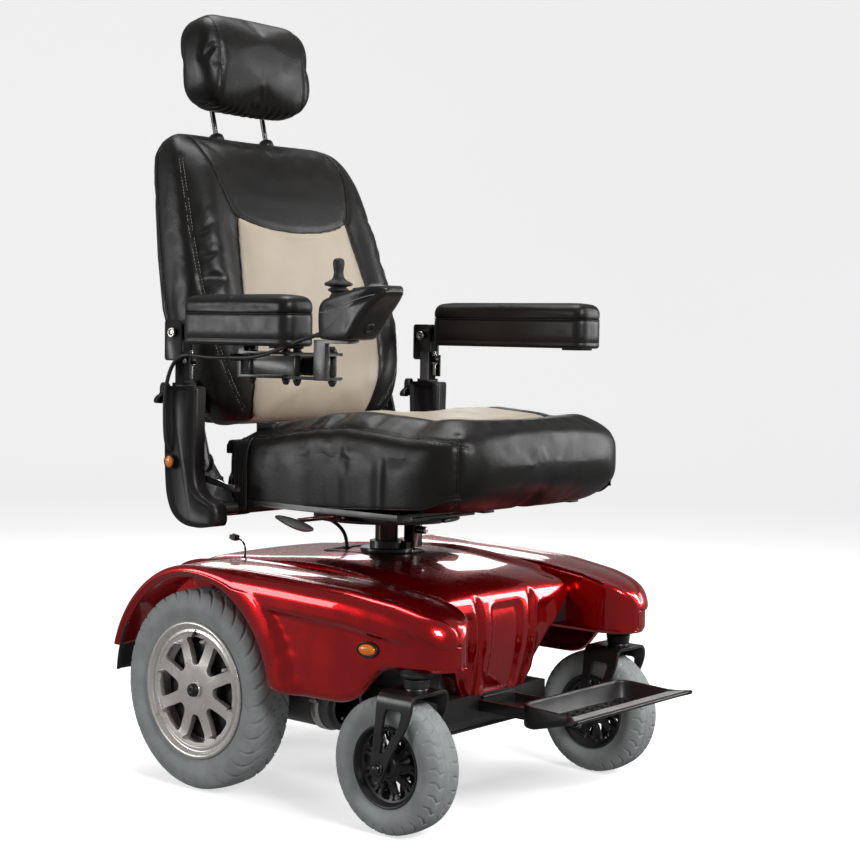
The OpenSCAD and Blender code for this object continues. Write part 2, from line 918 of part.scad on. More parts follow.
module arm_shell(side) {
    color(black) on_side(side) {
        mid_y = arm_rear_y - pad_length(side) / 2;
        upright(arm_low_z, arm_split_z)
            translate([arm_x, mid_y]) round_rect(pad_w, pad_length(side), 24);
        difference() {
            across(arm_x - tongue_half, arm_x + tongue_half) union() {
                translate([arm_rear_y - 20, 797]) square([42, 28]);
                translate([pivot_y, pivot_z]) circle(14);
                translate([pivot_y - 26, pivot_z - 12]) square([26, 26]);
            }
            rod_x(arm_x - 10, arm_x + 10, pivot_y, pivot_z, pivot_pin_r + run_gap);
        }
    }
}

module arm_pad(side) {
    color(leather) on_side(side)
        upright(arm_split_z, arm_top_z)
            translate([arm_x, arm_rear_y - pad_length(side) / 2])
                round_rect(pad_w, pad_length(side), 24);
}

// ---------- swing-away joystick ----------

module swing_bracket() {
    color(black) difference() {
        union() {
            for (z = [link_low_z - 6, link_top_z + 1])
                upright(z, z + 5) polygon([[-334, 100], [-334, 60], [-314, 2], [-288, 2], [-288, 100]]);
            box([-334, 92, link_low_z - 1], [-288, 100, link_top_z + 1]);
            box([-334, 84, link_top_z + 6], [-300, 100, arm_low_z]);
        }
        for (p = [pin_a, pin_b])
            rod_z(link_low_z - 8, link_top_z + 8, p[0], p[1], link_pin_r + run_gap);
    }
}

// A link's own pins are its axles: one at each end.
module swing_link(start, end) {
    color([0.15, 0.15, 0.15]) {
        box([start[0] - 3, end[1] + 5, link_low_z], [start[0] + 3, start[1] - 5, link_top_z]);
        rod_z(link_low_z, link_top_z, start[0], start[1], link_barrel_r);
        rod_z(link_low_z - 10, link_top_z + 11, start[0], start[1], link_pin_r);
        rod_z(link_low_z, link_top_z, end[0], end[1], link_barrel_r);
        rod_z(link_low_z - 10, link_top_z + 11, end[0], end[1], link_pin_r);
    }
}

module joystick_mount() {
    color(black) difference() {
        union() {
            for (z = [link_low_z - 6, link_top_z + 1])
                upright(z, z + 5) polygon([
                    [-334, -20], [-314, -20], [-288, -86], [-288, -104], [-312, -118], [-334, -118]
                ]);
            box([-345, -118, link_low_z - 6], [-334, -92, 798]);
            box([-345, -170, 796], [-320, -92, 801.7]);
        }
        rod_z(link_low_z - 8, link_top_z + 8, pin_c[0], pin_c[1], link_pin_r + run_gap);
        rod_z(link_low_z - 8, link_top_z + 8, pin_d[0], pin_d[1], link_pin_r + 0.4);
    }
}

module housing_side() {
    polygon([
        [-108, 818], [-112, 802], [-192, 802], [-212, 832], [-248, 864], [-254, 878],
        [-244, 888], [-200, 884], [-150, 874], [-114, 862], [-108, 848]
    ]);
}

module joystick_housing() {
    color(black) difference() {
        intersection() {
            across(stick_x - 40, stick_x + 40) housing_side();
            upright(800, 900) polygon([
                [-359, -118], [-349, -108], [-311, -108], [-301, -118], [-291, -200],
                [-291, -238], [-305, -254], [-355, -254], [-369, -238], [-369, -200]
            ]);
        }
        rod_z(864, 900, stick_x, stick_y, 25);
        rod_z(844, 870, stick_x, stick_y, 19);
        key_panel() {
            translate([-14, 4, -8]) cylinder(h = 20, r = key_r + 0.3);
            translate([14, 4, -10]) cylinder(h = 22, r = 4 + run_gap);
        }
        // charging socket in the sloping front of the lower half
        translate([stick_x, -204, 819]) rotate([56, 0, 0]) cylinder(h = 16, r = 8, center = true);
    }
}

// Axes of the key panel, in front of the stick.
module key_panel() {
    translate([stick_x, -205, 885]) rotate([-panel_tilt / 2, 0, 0]) children();
}

module gimbal_ring() {
    color(silver) translate([stick_x, stick_y, stick_pivot_z - 4]) linear_extrude(8) difference() {
        circle(14);
        circle(7);
    }
}

module joystick_stick() {
    color(black) {
        translate([stick_x, stick_y, stick_pivot_z - 6]) {
            cylinder(h = 60, r = 3.5);
            translate([0, 0, 22]) cylinder(h = 5, r1 = 16, r2 = 13);
            translate([0, 0, 27]) cylinder(h = 5, r1 = 17, r2 = 13);
            translate([0, 0, 32]) cylinder(h = 10, r1 = 16, r2 = 8);
            translate([0, 0, 42]) cylinder(h = 34, r1 = 8, r2 = 9);
            translate([0, 0, 76]) cylinder(h = 6, r1 = 9, r2 = 5);
        }
    }
}

module power_key() {
    color([0.1, 0.45, 0.15])
        key_panel() translate([-14, 4, -6]) cylinder(h = 9, r = key_r);
}

module speed_dial() {
    color([0.3, 0.3, 0.3])
        key_panel() translate([14, 4, 0]) {
            translate([0, 0, -9]) cylinder(h = 12, r = 4);
            translate([0, 0, 1]) cylinder(h = 7, r = dial_r);
        }
}

module stick_cable() {
    color(black) tube(cable_path, cable_d);
}

// ---------- the nodes ----------

frame();
batteries();
controller();
motor(LEFT);  // motor_left
motor(RIGHT);  // motor_right
deck_shroud();
side_shroud(LEFT);  // side_shroud_left
side_shroud(RIGHT);  // side_shroud_right
side_lamps();
footplate_bracket();
post_socket();
service_lead();
drive_tyre(LEFT);  // drive_tyre_left
drive_tyre(RIGHT);  // drive_tyre_right
drive_rim(LEFT);  // drive_rim_left
drive_rim(RIGHT);  // drive_rim_right
caster_fork(LEFT);  // caster_fork_left
caster_fork(RIGHT);  // caster_fork_right
caster_tyre(LEFT);  // caster_tyre_left
caster_tyre(RIGHT);  // caster_tyre_right
caster_rim(LEFT);  // caster_rim_left
caster_rim(RIGHT);  // caster_rim_right
tip_wheel(LEFT);  // tip_wheel_left
tip_wheel(RIGHT);  // tip_wheel_right
release_lever(LEFT);  // release_lever_left
release_lever(RIGHT);  // release_lever_right
footplate();
seat_post();
seat_harness();
swivel_plate();
swivel_lever();
seat_frame();
seat_cushion();
slide_lever();
arm_column(LEFT);  // arm_column_left
arm_column(RIGHT);  // arm_column_right
column_lamps();
back_frame();
back_cushion();
recline_lever();
headrest_posts();
headrest_cushion();
arm_post(LEFT);  // arm_post_left
arm_post(RIGHT);  // arm_post_right
arm_knob(LEFT);  // arm_knob_left
arm_knob(RIGHT);  // arm_knob_right
arm_shell(LEFT);  // arm_shell_left
arm_shell(RIGHT);  // arm_shell_right
arm_pad(LEFT);  // arm_pad_left
arm_pad(RIGHT);  // arm_pad_right
swing_bracket();
swing_link(pin_a, pin_c);  // swing_link_rear
swing_link(pin_b, pin_d);  // swing_link_front
joystick_mount();
joystick_housing();
gimbal_ring();
joystick_stick();
power_key();
speed_dial();
stick_cable();
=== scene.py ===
import bpy
import bmesh
import math
import random
from mathutils import Matrix, Vector
from mathutils.bvhtree import BVHTree


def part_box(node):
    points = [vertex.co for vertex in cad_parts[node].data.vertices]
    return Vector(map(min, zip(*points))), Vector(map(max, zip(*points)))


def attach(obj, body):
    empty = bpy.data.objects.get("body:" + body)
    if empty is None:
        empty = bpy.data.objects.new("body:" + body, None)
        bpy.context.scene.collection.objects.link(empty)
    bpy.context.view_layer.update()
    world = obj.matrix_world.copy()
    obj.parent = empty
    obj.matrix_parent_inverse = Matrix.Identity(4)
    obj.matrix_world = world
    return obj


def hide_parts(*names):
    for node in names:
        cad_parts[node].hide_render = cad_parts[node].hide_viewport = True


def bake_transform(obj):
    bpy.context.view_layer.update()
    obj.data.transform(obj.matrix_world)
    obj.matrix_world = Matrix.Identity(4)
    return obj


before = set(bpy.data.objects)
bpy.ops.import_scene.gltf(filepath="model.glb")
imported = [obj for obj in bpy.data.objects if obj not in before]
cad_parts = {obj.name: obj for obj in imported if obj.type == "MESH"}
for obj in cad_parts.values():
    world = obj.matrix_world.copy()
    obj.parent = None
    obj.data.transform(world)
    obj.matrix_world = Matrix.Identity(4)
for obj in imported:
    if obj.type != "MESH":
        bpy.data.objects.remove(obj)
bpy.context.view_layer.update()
random.seed(7)

LEFT = 1
RIGHT = -1
SIDES = {"left": LEFT, "right": RIGHT}
MM = 0.001


def middle(node):
    """The middle of a node's box, in millimetres like every length below except the materials'."""
    low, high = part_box(node)
    return (Vector(low) + Vector(high)) / 2 / MM


# ---------------------------------------------------------------- camera

def make_camera():
    """Stands in front of the user's right, a little above the armrests."""
    turn, tip, roll = math.radians(49.68), math.radians(3.27), math.radians(0.89)
    look = Vector((math.sin(turn) * math.cos(tip), math.cos(turn) * math.cos(tip), -math.sin(tip)))
    level = Vector((math.cos(turn), -math.sin(turn), 0))
    upright = level.cross(look)
    right = level * math.cos(roll) + upright * math.sin(roll)
    up = upright * math.cos(roll) - level * math.sin(roll)
    data = bpy.data.cameras.new("camera")
    data.sensor_width = 36
    data.lens = 72.94
    camera = bpy.data.objects.new("camera", data)
    bpy.context.collection.objects.link(camera)
    place = Vector((-2.3945, middle("drive_tyre_right").y * MM - 2.2886, 0.8198))
    camera.matrix_world = Matrix.Translation(place) @ Matrix((right, up, -look)).transposed().to_4x4()
    bpy.context.scene.camera = camera


make_camera()


# ---------------------------------------------------------------- materials

class Look:
    """One procedural material: a Principled shader and the nodes that feed it."""

    def __init__(self, name, colour, roughness, metallic=0.0, **sockets):
        self.material = bpy.data.materials.new(name)
        self.material.use_nodes = True
        self.tree = self.material.node_tree
        self.shader = self.tree.nodes["Principled BSDF"]
        self.set(**{"Base Color": (*colour, 1), "Roughness": roughness, "Metallic": metallic})
        self.set(**{key.replace("_", " "): value for key, value in sockets.items()})
        self.place = self.tree.nodes.new("ShaderNodeTexCoord").outputs["Object"]
        self.normal = None

    def set(self, **values):
        for key, value in values.items():
            self.shader.inputs[key].default_value = value

    def node(self, kind, values=None, **settings):
        made = self.tree.nodes.new(kind)
        for key, value in settings.items():
            setattr(made, key, value)
        for key, value in (values or {}).items():
            made.inputs[key].default_value = value
        return made

    def link(self, a, b):
        self.tree.links.new(a, b)

    def noise(self, scale, detail=3.0, roughness=0.5):
        made = self.node("ShaderNodeTexNoise", {"Scale": scale, "Detail": detail, "Roughness": roughness})
        self.link(self.place, made.inputs["Vector"])
        return made.outputs["Fac"]

    def cells(self, scale, feature="F1", randomness=1.0):
        made = self.node("ShaderNodeTexVoronoi", {"Scale": scale, "Randomness": randomness},
                         feature=feature)
        self.link(self.place, made.inputs["Vector"])
        return made.outputs["Distance"]

    def spread(self, value, low, high, low_to=0.0, high_to=1.0):
        made = self.node("ShaderNodeMapRange", {"From Min": low, "From Max": high,
                                                "To Min": low_to, "To Max": high_to})
        self.link(value, made.inputs["Value"])
        return made.outputs["Result"]

    def colours(self, value, first, second):
        """Blends two colours by a value and feeds the base colour."""
        made = self.node("ShaderNodeMix", data_type="RGBA")
        made.inputs["A"].default_value = (*first, 1)
        made.inputs["B"].default_value = (*second, 1)
        self.link(value, made.inputs["Factor"])
        self.link(made.outputs["Result"], self.shader.inputs["Base Color"])

    def dull(self, value, low, high):
        self.link(self.spread(value, 0.3, 0.7, low, high), self.shader.inputs["Roughness"])

    def bump(self, value, strength, depth):
        made = self.node("ShaderNodeBump", {"Strength": strength, "Distance": depth})
        self.link(value, made.inputs["Height"])
        if self.normal:
            self.link(self.normal, made.inputs["Normal"])
        self.normal = made.outputs["Normal"]
        self.link(self.normal, self.shader.inputs["Normal"])


def leather(name, colour, lighter, grain=420, pores=0.0):
    look = Look(name, colour, 0.4, Specular_IOR_Level=0.36)
    patches = look.noise(9, 4)
    look.colours(look.spread(patches, 0.35, 0.7), colour, lighter)
    look.dull(look.noise(30, 4), 0.33, 0.45)
    look.bump(look.noise(24, 3), 0.25, 0.0012)
    look.bump(look.cells(grain), 0.35, 0.0004)
    look.bump(look.noise(grain * 3, 2), 0.25, 0.0002)
    if pores:
        look.bump(look.spread(look.cells(pores, randomness=0.12), 0.0, 0.25), 0.4, 0.0003)
    return look.material


def plastic(name, colour, roughness, grain=900, relief=0.2, **sockets):
    look = Look(name, colour, roughness, **sockets)
    lighter = tuple(min(1, c * 1.5 + 0.004) for c in colour)
    look.colours(look.spread(look.noise(14, 5), 0.35, 0.8), colour, lighter)
    look.dull(look.noise(40, 4), roughness - 0.05, roughness + 0.08)
    look.bump(look.cells(grain), relief, 0.00025)
    return look.material


def paint(name, colour, roughness, metallic=0.0, peel=160, coat=0.2):
    look = Look(name, colour, roughness, metallic, Coat_Weight=coat, Coat_Roughness=0.15)
    worn = tuple(min(1, c * 1.7 + 0.006) for c in colour)
    look.colours(look.spread(look.noise(11, 5), 0.4, 0.85), colour, worn)
    look.dull(look.noise(26, 4), roughness - 0.06, roughness + 0.1)
    look.bump(look.noise(peel, 2), 0.16, 0.0004)
    return look.material


def metal(name, colour, roughness, scratch=320, relief=0.05):
    look = Look(name, colour, roughness, 1.0)
    darker = tuple(c * 0.82 for c in colour)
    look.colours(look.spread(look.noise(18, 4), 0.3, 0.75), colour, darker)
    look.dull(look.noise(60, 5), max(0.04, roughness - 0.06), roughness + 0.09)
    look.bump(look.noise(scratch, 3), relief, 0.0002)
    return look.material


def turned_metal(name, colour, roughness, metallic=1.0):
    """Metal with the fine rings of a lathe, round the object's own X axis."""
    look = Look(name, colour, roughness, metallic, Anisotropic=0.35)
    rings = look.node("ShaderNodeTexWave", {"Scale": 240, "Distortion": 0.6, "Detail": 2},
                      wave_type="RINGS", rings_direction="X")
    look.link(look.place, rings.inputs["Vector"])
    look.colours(look.spread(look.noise(16, 4), 0.3, 0.8), colour, tuple(c * 0.88 for c in colour))
    look.dull(look.noise(50, 4), roughness - 0.06, roughness + 0.08)
    look.bump(rings.outputs["Fac"], 0.08, 0.0002)
    return look.material


def candy_paint(name):
    """Deep red with metal flakes under a clear coat."""
    look = Look(name, (0.6, 0.001, 0.004), 0.25, 0.88, Coat_Weight=1.0, Coat_Roughness=0.02)
    flakes = look.cells(1400)
    look.colours(look.spread(flakes, 0.1, 0.9), (0.68, 0.001, 0.005), (0.48, 0.0004, 0.003))
    look.dull(look.noise(20, 3), 0.22, 0.32)
    return look.material


def tyre_rubber(name, colour):
    look = Look(name, colour, 0.72, Specular_IOR_Level=0.3)
    dusty = tuple(c * 1.16 for c in colour)
    look.colours(look.spread(look.noise(22, 6, 0.6), 0.35, 0.7), tuple(c * 0.86 for c in colour), dusty)
    look.dull(look.noise(70, 4), 0.62, 0.8)
    look.bump(look.noise(260, 4), 0.25, 0.0004)
    return look.material


def lens(name, colour):
    # The small emission is a painted glow that brightens the amber lens; the lamp itself is not lit.
    look = Look(name, colour, 0.12, Coat_Weight=1.0, Coat_Roughness=0.03, Emission_Strength=0.12,
                Emission_Color=(*colour, 1))
    facets = look.cells(260, randomness=0.2)
    look.colours(look.spread(facets, 0.1, 0.7), tuple(min(1, c * 1.25) for c in colour),
                 tuple(c * 0.6 for c in colour))
    look.bump(facets, 0.7, 0.0012)
    return look.material


def thread(name, colour):
    look = Look(name, colour, 0.7, Sheen_Weight=0.3)
    look.colours(look.noise(900, 2), colour, tuple(c * 0.75 for c in colour))
    look.bump(look.noise(2400, 2), 0.5, 0.0002)
    return look.material


RED = candy_paint("candy_red")
BLACK_LEATHER = leather("black_leather", (0.0055, 0.0046, 0.0042), (0.0095, 0.0082, 0.0076))
BEIGE_LEATHER = leather("beige_leather", (0.46, 0.395, 0.305), (0.53, 0.46, 0.365), pores=330)
ARM_COVER = plastic("arm_cover", (0.0065, 0.0055, 0.0052), 0.4, 700)
COVER = plastic("cover_plastic", (0.0085, 0.0072, 0.007), 0.42, 700)
TRIM = plastic("trim_plastic", (0.007, 0.0065, 0.0065), 0.48, 600)
CONTROL = plastic("control_plastic", (0.009, 0.0085, 0.0085), 0.33, 1500, 0.12)
PLATE = plastic("plate_plastic", (0.011, 0.0095, 0.0098), 0.4, 800)
GRIP = plastic("grip_strip", (0.24, 0.235, 0.23), 0.55, 500, 0.4)
LEVER_GREY = plastic("lever_plastic", (0.07, 0.068, 0.066), 0.45)
CASE = plastic("battery_plastic", (0.10, 0.10, 0.105), 0.55)
CASTER_RIM = plastic("caster_rim_plastic", (0.020, 0.019, 0.019), 0.38, 900)
GREEN_KEY = plastic("key_plastic", (0.03, 0.24, 0.08), 0.35)
DIAL = plastic("dial_plastic", (0.16, 0.16, 0.16), 0.4)
FRAME_PAINT = paint("frame_paint", (0.009, 0.008, 0.008), 0.38)
FORK_PAINT = paint("fork_paint", (0.011, 0.009, 0.009), 0.36, peel=240)
POST_PAINT = paint("post_paint", (0.009, 0.008, 0.008), 0.36)
LINK_PAINT = paint("link_paint", (0.020, 0.018, 0.017), 0.3)
MOTOR_PAINT = paint("motor_paint", (0.10, 0.10, 0.10), 0.5, peel=90)
RELEASE_RED = plastic("release_plastic", (0.45, 0.02, 0.015), 0.35)
CAST_SILVER = metal("cast_silver", (0.72, 0.70, 0.67), 0.32, 220, 0.1)
WHEEL_SILVER = turned_metal("wheel_silver", (0.86, 0.82, 0.78), 0.3, 0.6)
CHROME = metal("chrome", (0.82, 0.82, 0.82), 0.1, 500, 0.02)
STEEL = metal("bolt_steel", (0.62, 0.61, 0.59), 0.28, 500, 0.06)
DARK_STEEL = metal("dark_steel", (0.10, 0.10, 0.10), 0.35, 500, 0.06)
ALLOY = metal("controller_alloy", (0.16, 0.16, 0.17), 0.5, 200, 0.15)
GOLD = metal("gold_ring", (0.72, 0.52, 0.2), 0.25)
TYRE = tyre_rubber("grey_tyre", (0.35, 0.37, 0.37))
SOLID_RUBBER = tyre_rubber("black_rubber", (0.03, 0.03, 0.03))
BOOT = plastic("boot_rubber", (0.014, 0.014, 0.014), 0.55, 500)
CABLE = plastic("cable_sheath", (0.014, 0.013, 0.013), 0.45, 300)
CONNECTOR = plastic("connector_plastic", (0.045, 0.03, 0.025), 0.4)
AMBER = lens("amber_lens", (1.0, 0.21, 0.008))
STITCH = thread("white_thread", (0.34, 0.32, 0.30))
DARK_STITCH = thread("grey_thread", (0.10, 0.095, 0.09))
PIPING = leather("piping_leather", (0.005, 0.0045, 0.0042), (0.009, 0.008, 0.0075), 700)


# ---------------------------------------------------------------- mesh tools

def build(name, points, faces, material, smooth=True, origin=None):
    """A mesh object from points in millimetres. With an origin, they are about it."""
    mesh = bpy.data.meshes.new(name)
    mesh.from_pydata([tuple(Vector(p) * MM) for p in points], [], [tuple(f) for f in faces])
    mesh.validate()
    mesh.materials.append(material)
    piece = bpy.data.objects.new(name, mesh)
    bpy.context.collection.objects.link(piece)
    if origin is not None:
        piece.location = Vector(origin) * MM
    work = bmesh.new()
    work.from_mesh(mesh)
    bmesh.ops.remove_doubles(work, verts=work.verts, dist=1e-6)
    bmesh.ops.recalc_face_normals(work, faces=work.faces)
    work.to_mesh(mesh)
    work.free()
    if smooth:
        mesh.shade_smooth()
    return piece


def put(piece, body, slot, *nodes):
    """Rides on a body and may stand for CAD nodes; the slot argument is not used."""
    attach(piece, body)
    if nodes:
        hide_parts(*nodes)
    return piece


def rounded(piece, width, segments=3, angle=30):
    """A bevel on every edge sharper than the angle, with flat faces kept flat."""
    tool = piece.modifiers.new("round", "BEVEL")
    tool.width = width * MM
    tool.segments = segments
    tool.limit_method = "ANGLE"
    tool.angle_limit = math.radians(angle)
    tool.harden_normals = True
    return piece


def smoothed(piece, levels=2):
    tool = piece.modifiers.new("smooth", "SUBSURF")
    tool.levels = levels
    tool.render_levels = levels
    return piece


def thickened(piece, depth, offset=-1.0):
    tool = piece.modifiers.new("wall", "SOLIDIFY")
    tool.thickness = depth * MM
    tool.offset = offset
    return piece


def applied(piece):
    """Turns the piece's modifiers into plain mesh."""
    view = bpy.context.evaluated_depsgraph_get()
    mesh = bpy.data.meshes.new_from_object(piece.evaluated_get(view))
    piece.modifiers.clear()
    old = piece.data
    piece.data = mesh
    bpy.data.meshes.remove(old)
    return piece


def bored(piece, part):
    """Cuts a closed shape out of a piece."""
    cutter = build(piece.name + "_bore", *part, piece.data.materials[0])
    tool = piece.modifiers.new("bore", "BOOLEAN")
    tool.operation = "DIFFERENCE"
    tool.solver = "EXACT"
    tool.object = cutter
    applied(piece)
    bpy.data.objects.remove(cutter, do_unlink=True)
    return piece


def loft(rings, closed=True, caps=True):
    """Points and faces through rings that have the same number of points."""
    count = len(rings[0])
    points = [p for ring in rings for p in ring]
    faces = []
    last = count if closed else count - 1
    for i in range(len(rings) - 1):
        for k in range(last):
            n = (k + 1) % count
            faces.append((i * count + k, i * count + n, (i + 1) * count + n, (i + 1) * count + k))
    if caps:
        faces.append(tuple(range(count))[::-1])
        faces.append(tuple(range((len(rings) - 1) * count, len(rings) * count)))
    return points, faces


def lathe(profile, segments=96):
    """Turns (x, radius) points round the X axis; a closed profile gives a solid ring."""
    rings = []
    for i in range(segments):
        a = 2 * math.pi * i / segments
        rings.append([Vector((x, r * math.cos(a), r * math.sin(a))) for x, r in profile])
    return loft(rings + [rings[0]], caps=False)


def frames(path):
    """A heading and two square directions at each point, turning as little as they can."""
    path = [Vector(p) for p in path]
    heads = []
    for i, _ in enumerate(path):
        heads.append((path[min(i + 1, len(path) - 1)] - path[max(i - 1, 0)]).normalized())
    side = heads[0].orthogonal().normalized()
    made = []
    for head in heads:
        side = (side - head * side.dot(head)).normalized()
        made.append((head, side, head.cross(side)))
    return path, made


def sweep(path, radius, sides=10):
    """A round tube along a path; the radius is a number or one number per point."""
    path, axes = frames(path)
    sizes = radius if isinstance(radius, (list, tuple)) else [radius] * len(path)
    turns = [2 * math.pi * k / sides for k in range(sides)]
    return loft([[point + r * (math.cos(a) * u + math.sin(a) * v) for a in turns]
                 for point, (_, u, v), r in zip(path, axes, sizes)])


def rod(start, end, radius, sides=24):
    """A straight rod with slightly rounded ends."""
    start, end = Vector(start), Vector(end)
    way = (end - start).normalized()
    edge = min(radius * 0.25, (end - start).length * 0.2)
    return sweep([start, start + way * edge * 0.3, start + way * edge,
                  end - way * edge, end - way * edge * 0.3, end],
                 [radius - edge, radius - edge * 0.3, radius, radius, radius - edge * 0.3, radius - edge],
                 sides)


def smooth_path(points, steps=6, closed=False):
    """Catmull-Rom curve through the points."""
    pts = [Vector(p) for p in points]
    made = []
    count = len(pts)
    spans = count if closed else count - 1
    for i in range(spans):
        if closed:
            p0, p1, p2, p3 = pts[i - 1], pts[i], pts[(i + 1) % count], pts[(i + 2) % count]
        else:
            p0, p1, p2, p3 = pts[max(i - 1, 0)], pts[i], pts[i + 1], pts[min(i + 2, count - 1)]
        for k in range(steps):
            t = k / steps
            made.append(0.5 * (2 * p1 + (p2 - p0) * t + (2 * p0 - 5 * p1 + 4 * p2 - p3) * t * t
                               + (3 * p1 - p0 - 3 * p2 + p3) * t * t * t))
    if not closed:
        made.append(pts[-1])
    return made


def merged(*parts):
    """Joins several (points, faces) pairs into one."""
    points, faces = [], []
    for more_points, more_faces in parts:
        shift = len(points)
        points += list(more_points)
        faces += [tuple(i + shift for i in face) for face in more_faces]
    return points, faces


def turned(part, matrix):
    return [matrix @ Vector(p) for p in part[0]], part[1]


def slab(outline, low, high, axis):
    """A flat outline extruded along an axis; its points are the other two axes in order."""
    order = {"X": lambda a, b, h: Vector((h, a, b)), "Y": lambda a, b, h: Vector((a, h, b)),
             "Z": lambda a, b, h: Vector((a, b, h))}[axis]
    return loft([[order(a, b, low) for a, b in outline], [order(a, b, high) for a, b in outline]])


def block(low, high):
    (x0, y0, z0), (x1, y1, z1) = low, high
    return slab([(x0, y0), (x1, y0), (x1, y1), (x0, y1)], z0, z1, "Z")


def arc(centre, radius, start, end, steps):
    """Points on a circle, in degrees."""
    made = []
    for i in range(steps + 1):
        a = math.radians(start + (end - start) * i / steps)
        made.append((centre[0] + radius * math.cos(a), centre[1] + radius * math.sin(a)))
    return made


def round_outline(points, radius, steps=4):
    """Rounds the corners of a closed outline."""
    made = []
    pts = [Vector(p) for p in points]
    for i, p in enumerate(pts):
        before, after = pts[i - 1], pts[(i + 1) % len(pts)]
        r = radius[i] if isinstance(radius, (list, tuple)) else radius
        r = min(r, (before - p).length * 0.45, (after - p).length * 0.45)
        a, b = p + (before - p).normalized() * r, p + (after - p).normalized() * r
        for k in range(steps + 1):
            t = k / steps
            made.append(tuple((1 - t) ** 2 * a + 2 * t * (1 - t) * p + t * t * b))
    return made


def hex_head(place, axis, size, height, turn=0.0):
    """A hexagon bolt head with a washer under it."""
    spin = Vector((0, 0, 1)).rotation_difference(Vector(axis)).to_matrix().to_4x4()
    spin.translation = Vector(place)
    hexagon = [(size * math.cos(math.radians(60 * k) + turn), size * math.sin(math.radians(60 * k) + turn))
               for k in range(6)]
    head = slab(hexagon, height * 0.25, height, "Z")
    washer = slab(arc((0, 0), size * 1.35, 0, 345, 23), 0, height * 0.25, "Z")
    return turned(merged(head, washer), spin)


def cap_bolt(place, axis, radius, height):
    """A round socket-head bolt with a hexagon recess."""
    spin = Vector((0, 0, 1)).rotation_difference(Vector(axis)).to_matrix().to_4x4()
    spin.translation = Vector(place)
    sides = 24
    rings = []
    for r, z in ((radius, 0), (radius, height * 0.85), (radius * 0.9, height), (radius * 0.5, height),
                 (radius * 0.5, height * 0.4)):
        if r <= radius * 0.5:
            ring = []
            for k in range(sides):
                a = 2 * math.pi * k / sides
                flat = math.cos(math.pi / 6) / math.cos((a % (math.pi / 3)) - math.pi / 6)
                ring.append(Vector((r * flat * math.cos(a), r * flat * math.sin(a), z)))
        else:
            turns = [2 * math.pi * k / sides for k in range(sides)]
            ring = [Vector((r * math.cos(a), r * math.sin(a), z)) for a in turns]
        rings.append(ring)
    return turned(loft(rings), spin)


def softened(name, node, material, width=1.0, segments=2):
    """A CAD node's own shape with every sharp edge rounded."""
    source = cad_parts[node]
    mesh = source.data.copy()
    mesh.materials.clear()
    mesh.materials.append(material)
    work = bmesh.new()
    work.from_mesh(mesh)
    bmesh.ops.remove_doubles(work, verts=work.verts, dist=2e-6)
    bmesh.ops.dissolve_limit(work, angle_limit=math.radians(1.5), verts=work.verts, edges=work.edges)
    for face in work.faces:
        face.smooth = True
        face.material_index = 0
    work.to_mesh(mesh)
    work.free()
    piece = bpy.data.objects.new(name, mesh)
    bpy.context.collection.objects.link(piece)
    rounded(piece, width, segments)
    piece.modifiers["round"].use_clamp_overlap = True
    return piece


def mirrored(part, side):
    """Shapes are drawn on the user's left and mirrored for the right."""
    return [Vector((p[0] * side, p[1], p[2])) for p in part[0]], part[1]


def between(value, pairs):
    """Straight lines through (place, value) pairs."""
    if value <= pairs[0][0]:
        return pairs[0][1]
    for (a, u), (b, v) in zip(pairs, pairs[1:]):
        if value <= b:
            return u + (v - u) * (value - a) / (b - a)
    return pairs[-1][1]


def ease(t):
    t = min(1.0, max(0.0, t))
    return t * t * (3 - 2 * t)


def resampled(loop, count):
    """Evenly spaced points round a closed loop, starting at its first point."""
    pts = [Vector(p) for p in loop] + [Vector(loop[0])]
    lengths = [0.0]
    for a, b in zip(pts, pts[1:]):
        lengths.append(lengths[-1] + (b - a).length)
    made, k = [], 0
    for i in range(count):
        want = lengths[-1] * i / count
        while lengths[k + 1] < want:
            k += 1
        made.append(pts[k].lerp(pts[k + 1], (want - lengths[k]) / max(1e-9, lengths[k + 1] - lengths[k])))
    return made


# ---------------------------------------------------------------- outlines with round edges

def offset_loop(loop, distance):
    """Moves a closed outline inward by a distance."""
    pts = [Vector(p) for p in loop]
    area = sum(a.x * b.y - b.x * a.y for a, b in zip(pts, pts[1:] + pts[:1]))
    turn = 1 if area > 0 else -1
    made = []
    for i, p in enumerate(pts):
        way = (pts[(i + 1) % len(pts)] - pts[i - 1]).normalized()
        made.append(p + turn * distance * Vector((-way.y, way.x)))
    return made


def cushioned(outline, low, high, radius, axis, steps=5):
    """An outline extruded along an axis with its edges rounded, as one closed shape."""
    order = {"X": lambda p, h: Vector((h, p.x, p.y)), "Y": lambda p, h: Vector((p.x, h, p.y)),
             "Z": lambda p, h: Vector((p.x, p.y, h))}[axis]
    rings = []
    for end, sign in ((low, 1), (high, -1)):
        half = []
        for k in range(steps + 1):
            a = math.radians(90 * k / steps)
            half.append([order(p, end + sign * radius * (1 - math.sin(a)))
                         for p in offset_loop(outline, radius * (1 - math.cos(math.pi / 2 - a)))])
        rings.append(half)
    return loft(rings[0] + rings[1][::-1])


def rounded_box(low, high, radius, axis="Z", corner=None):
    """A box with round upright corners and round edges."""
    (x0, y0, z0), (x1, y1, z1) = low, high
    spans = {"X": ((y0, z0), (y1, z1), x0, x1), "Y": ((x0, z0), (x1, z1), y0, y1),
             "Z": ((x0, y0), (x1, y1), z0, z1)}
    (a0, b0), (a1, b1), start, end = spans[axis]
    outline = round_outline([(a0, b0), (a1, b0), (a1, b1), (a0, b1)], corner or radius, 4)
    return cushioned(outline, start, end, radius, axis, 3)


# ---------------------------------------------------------------- cords

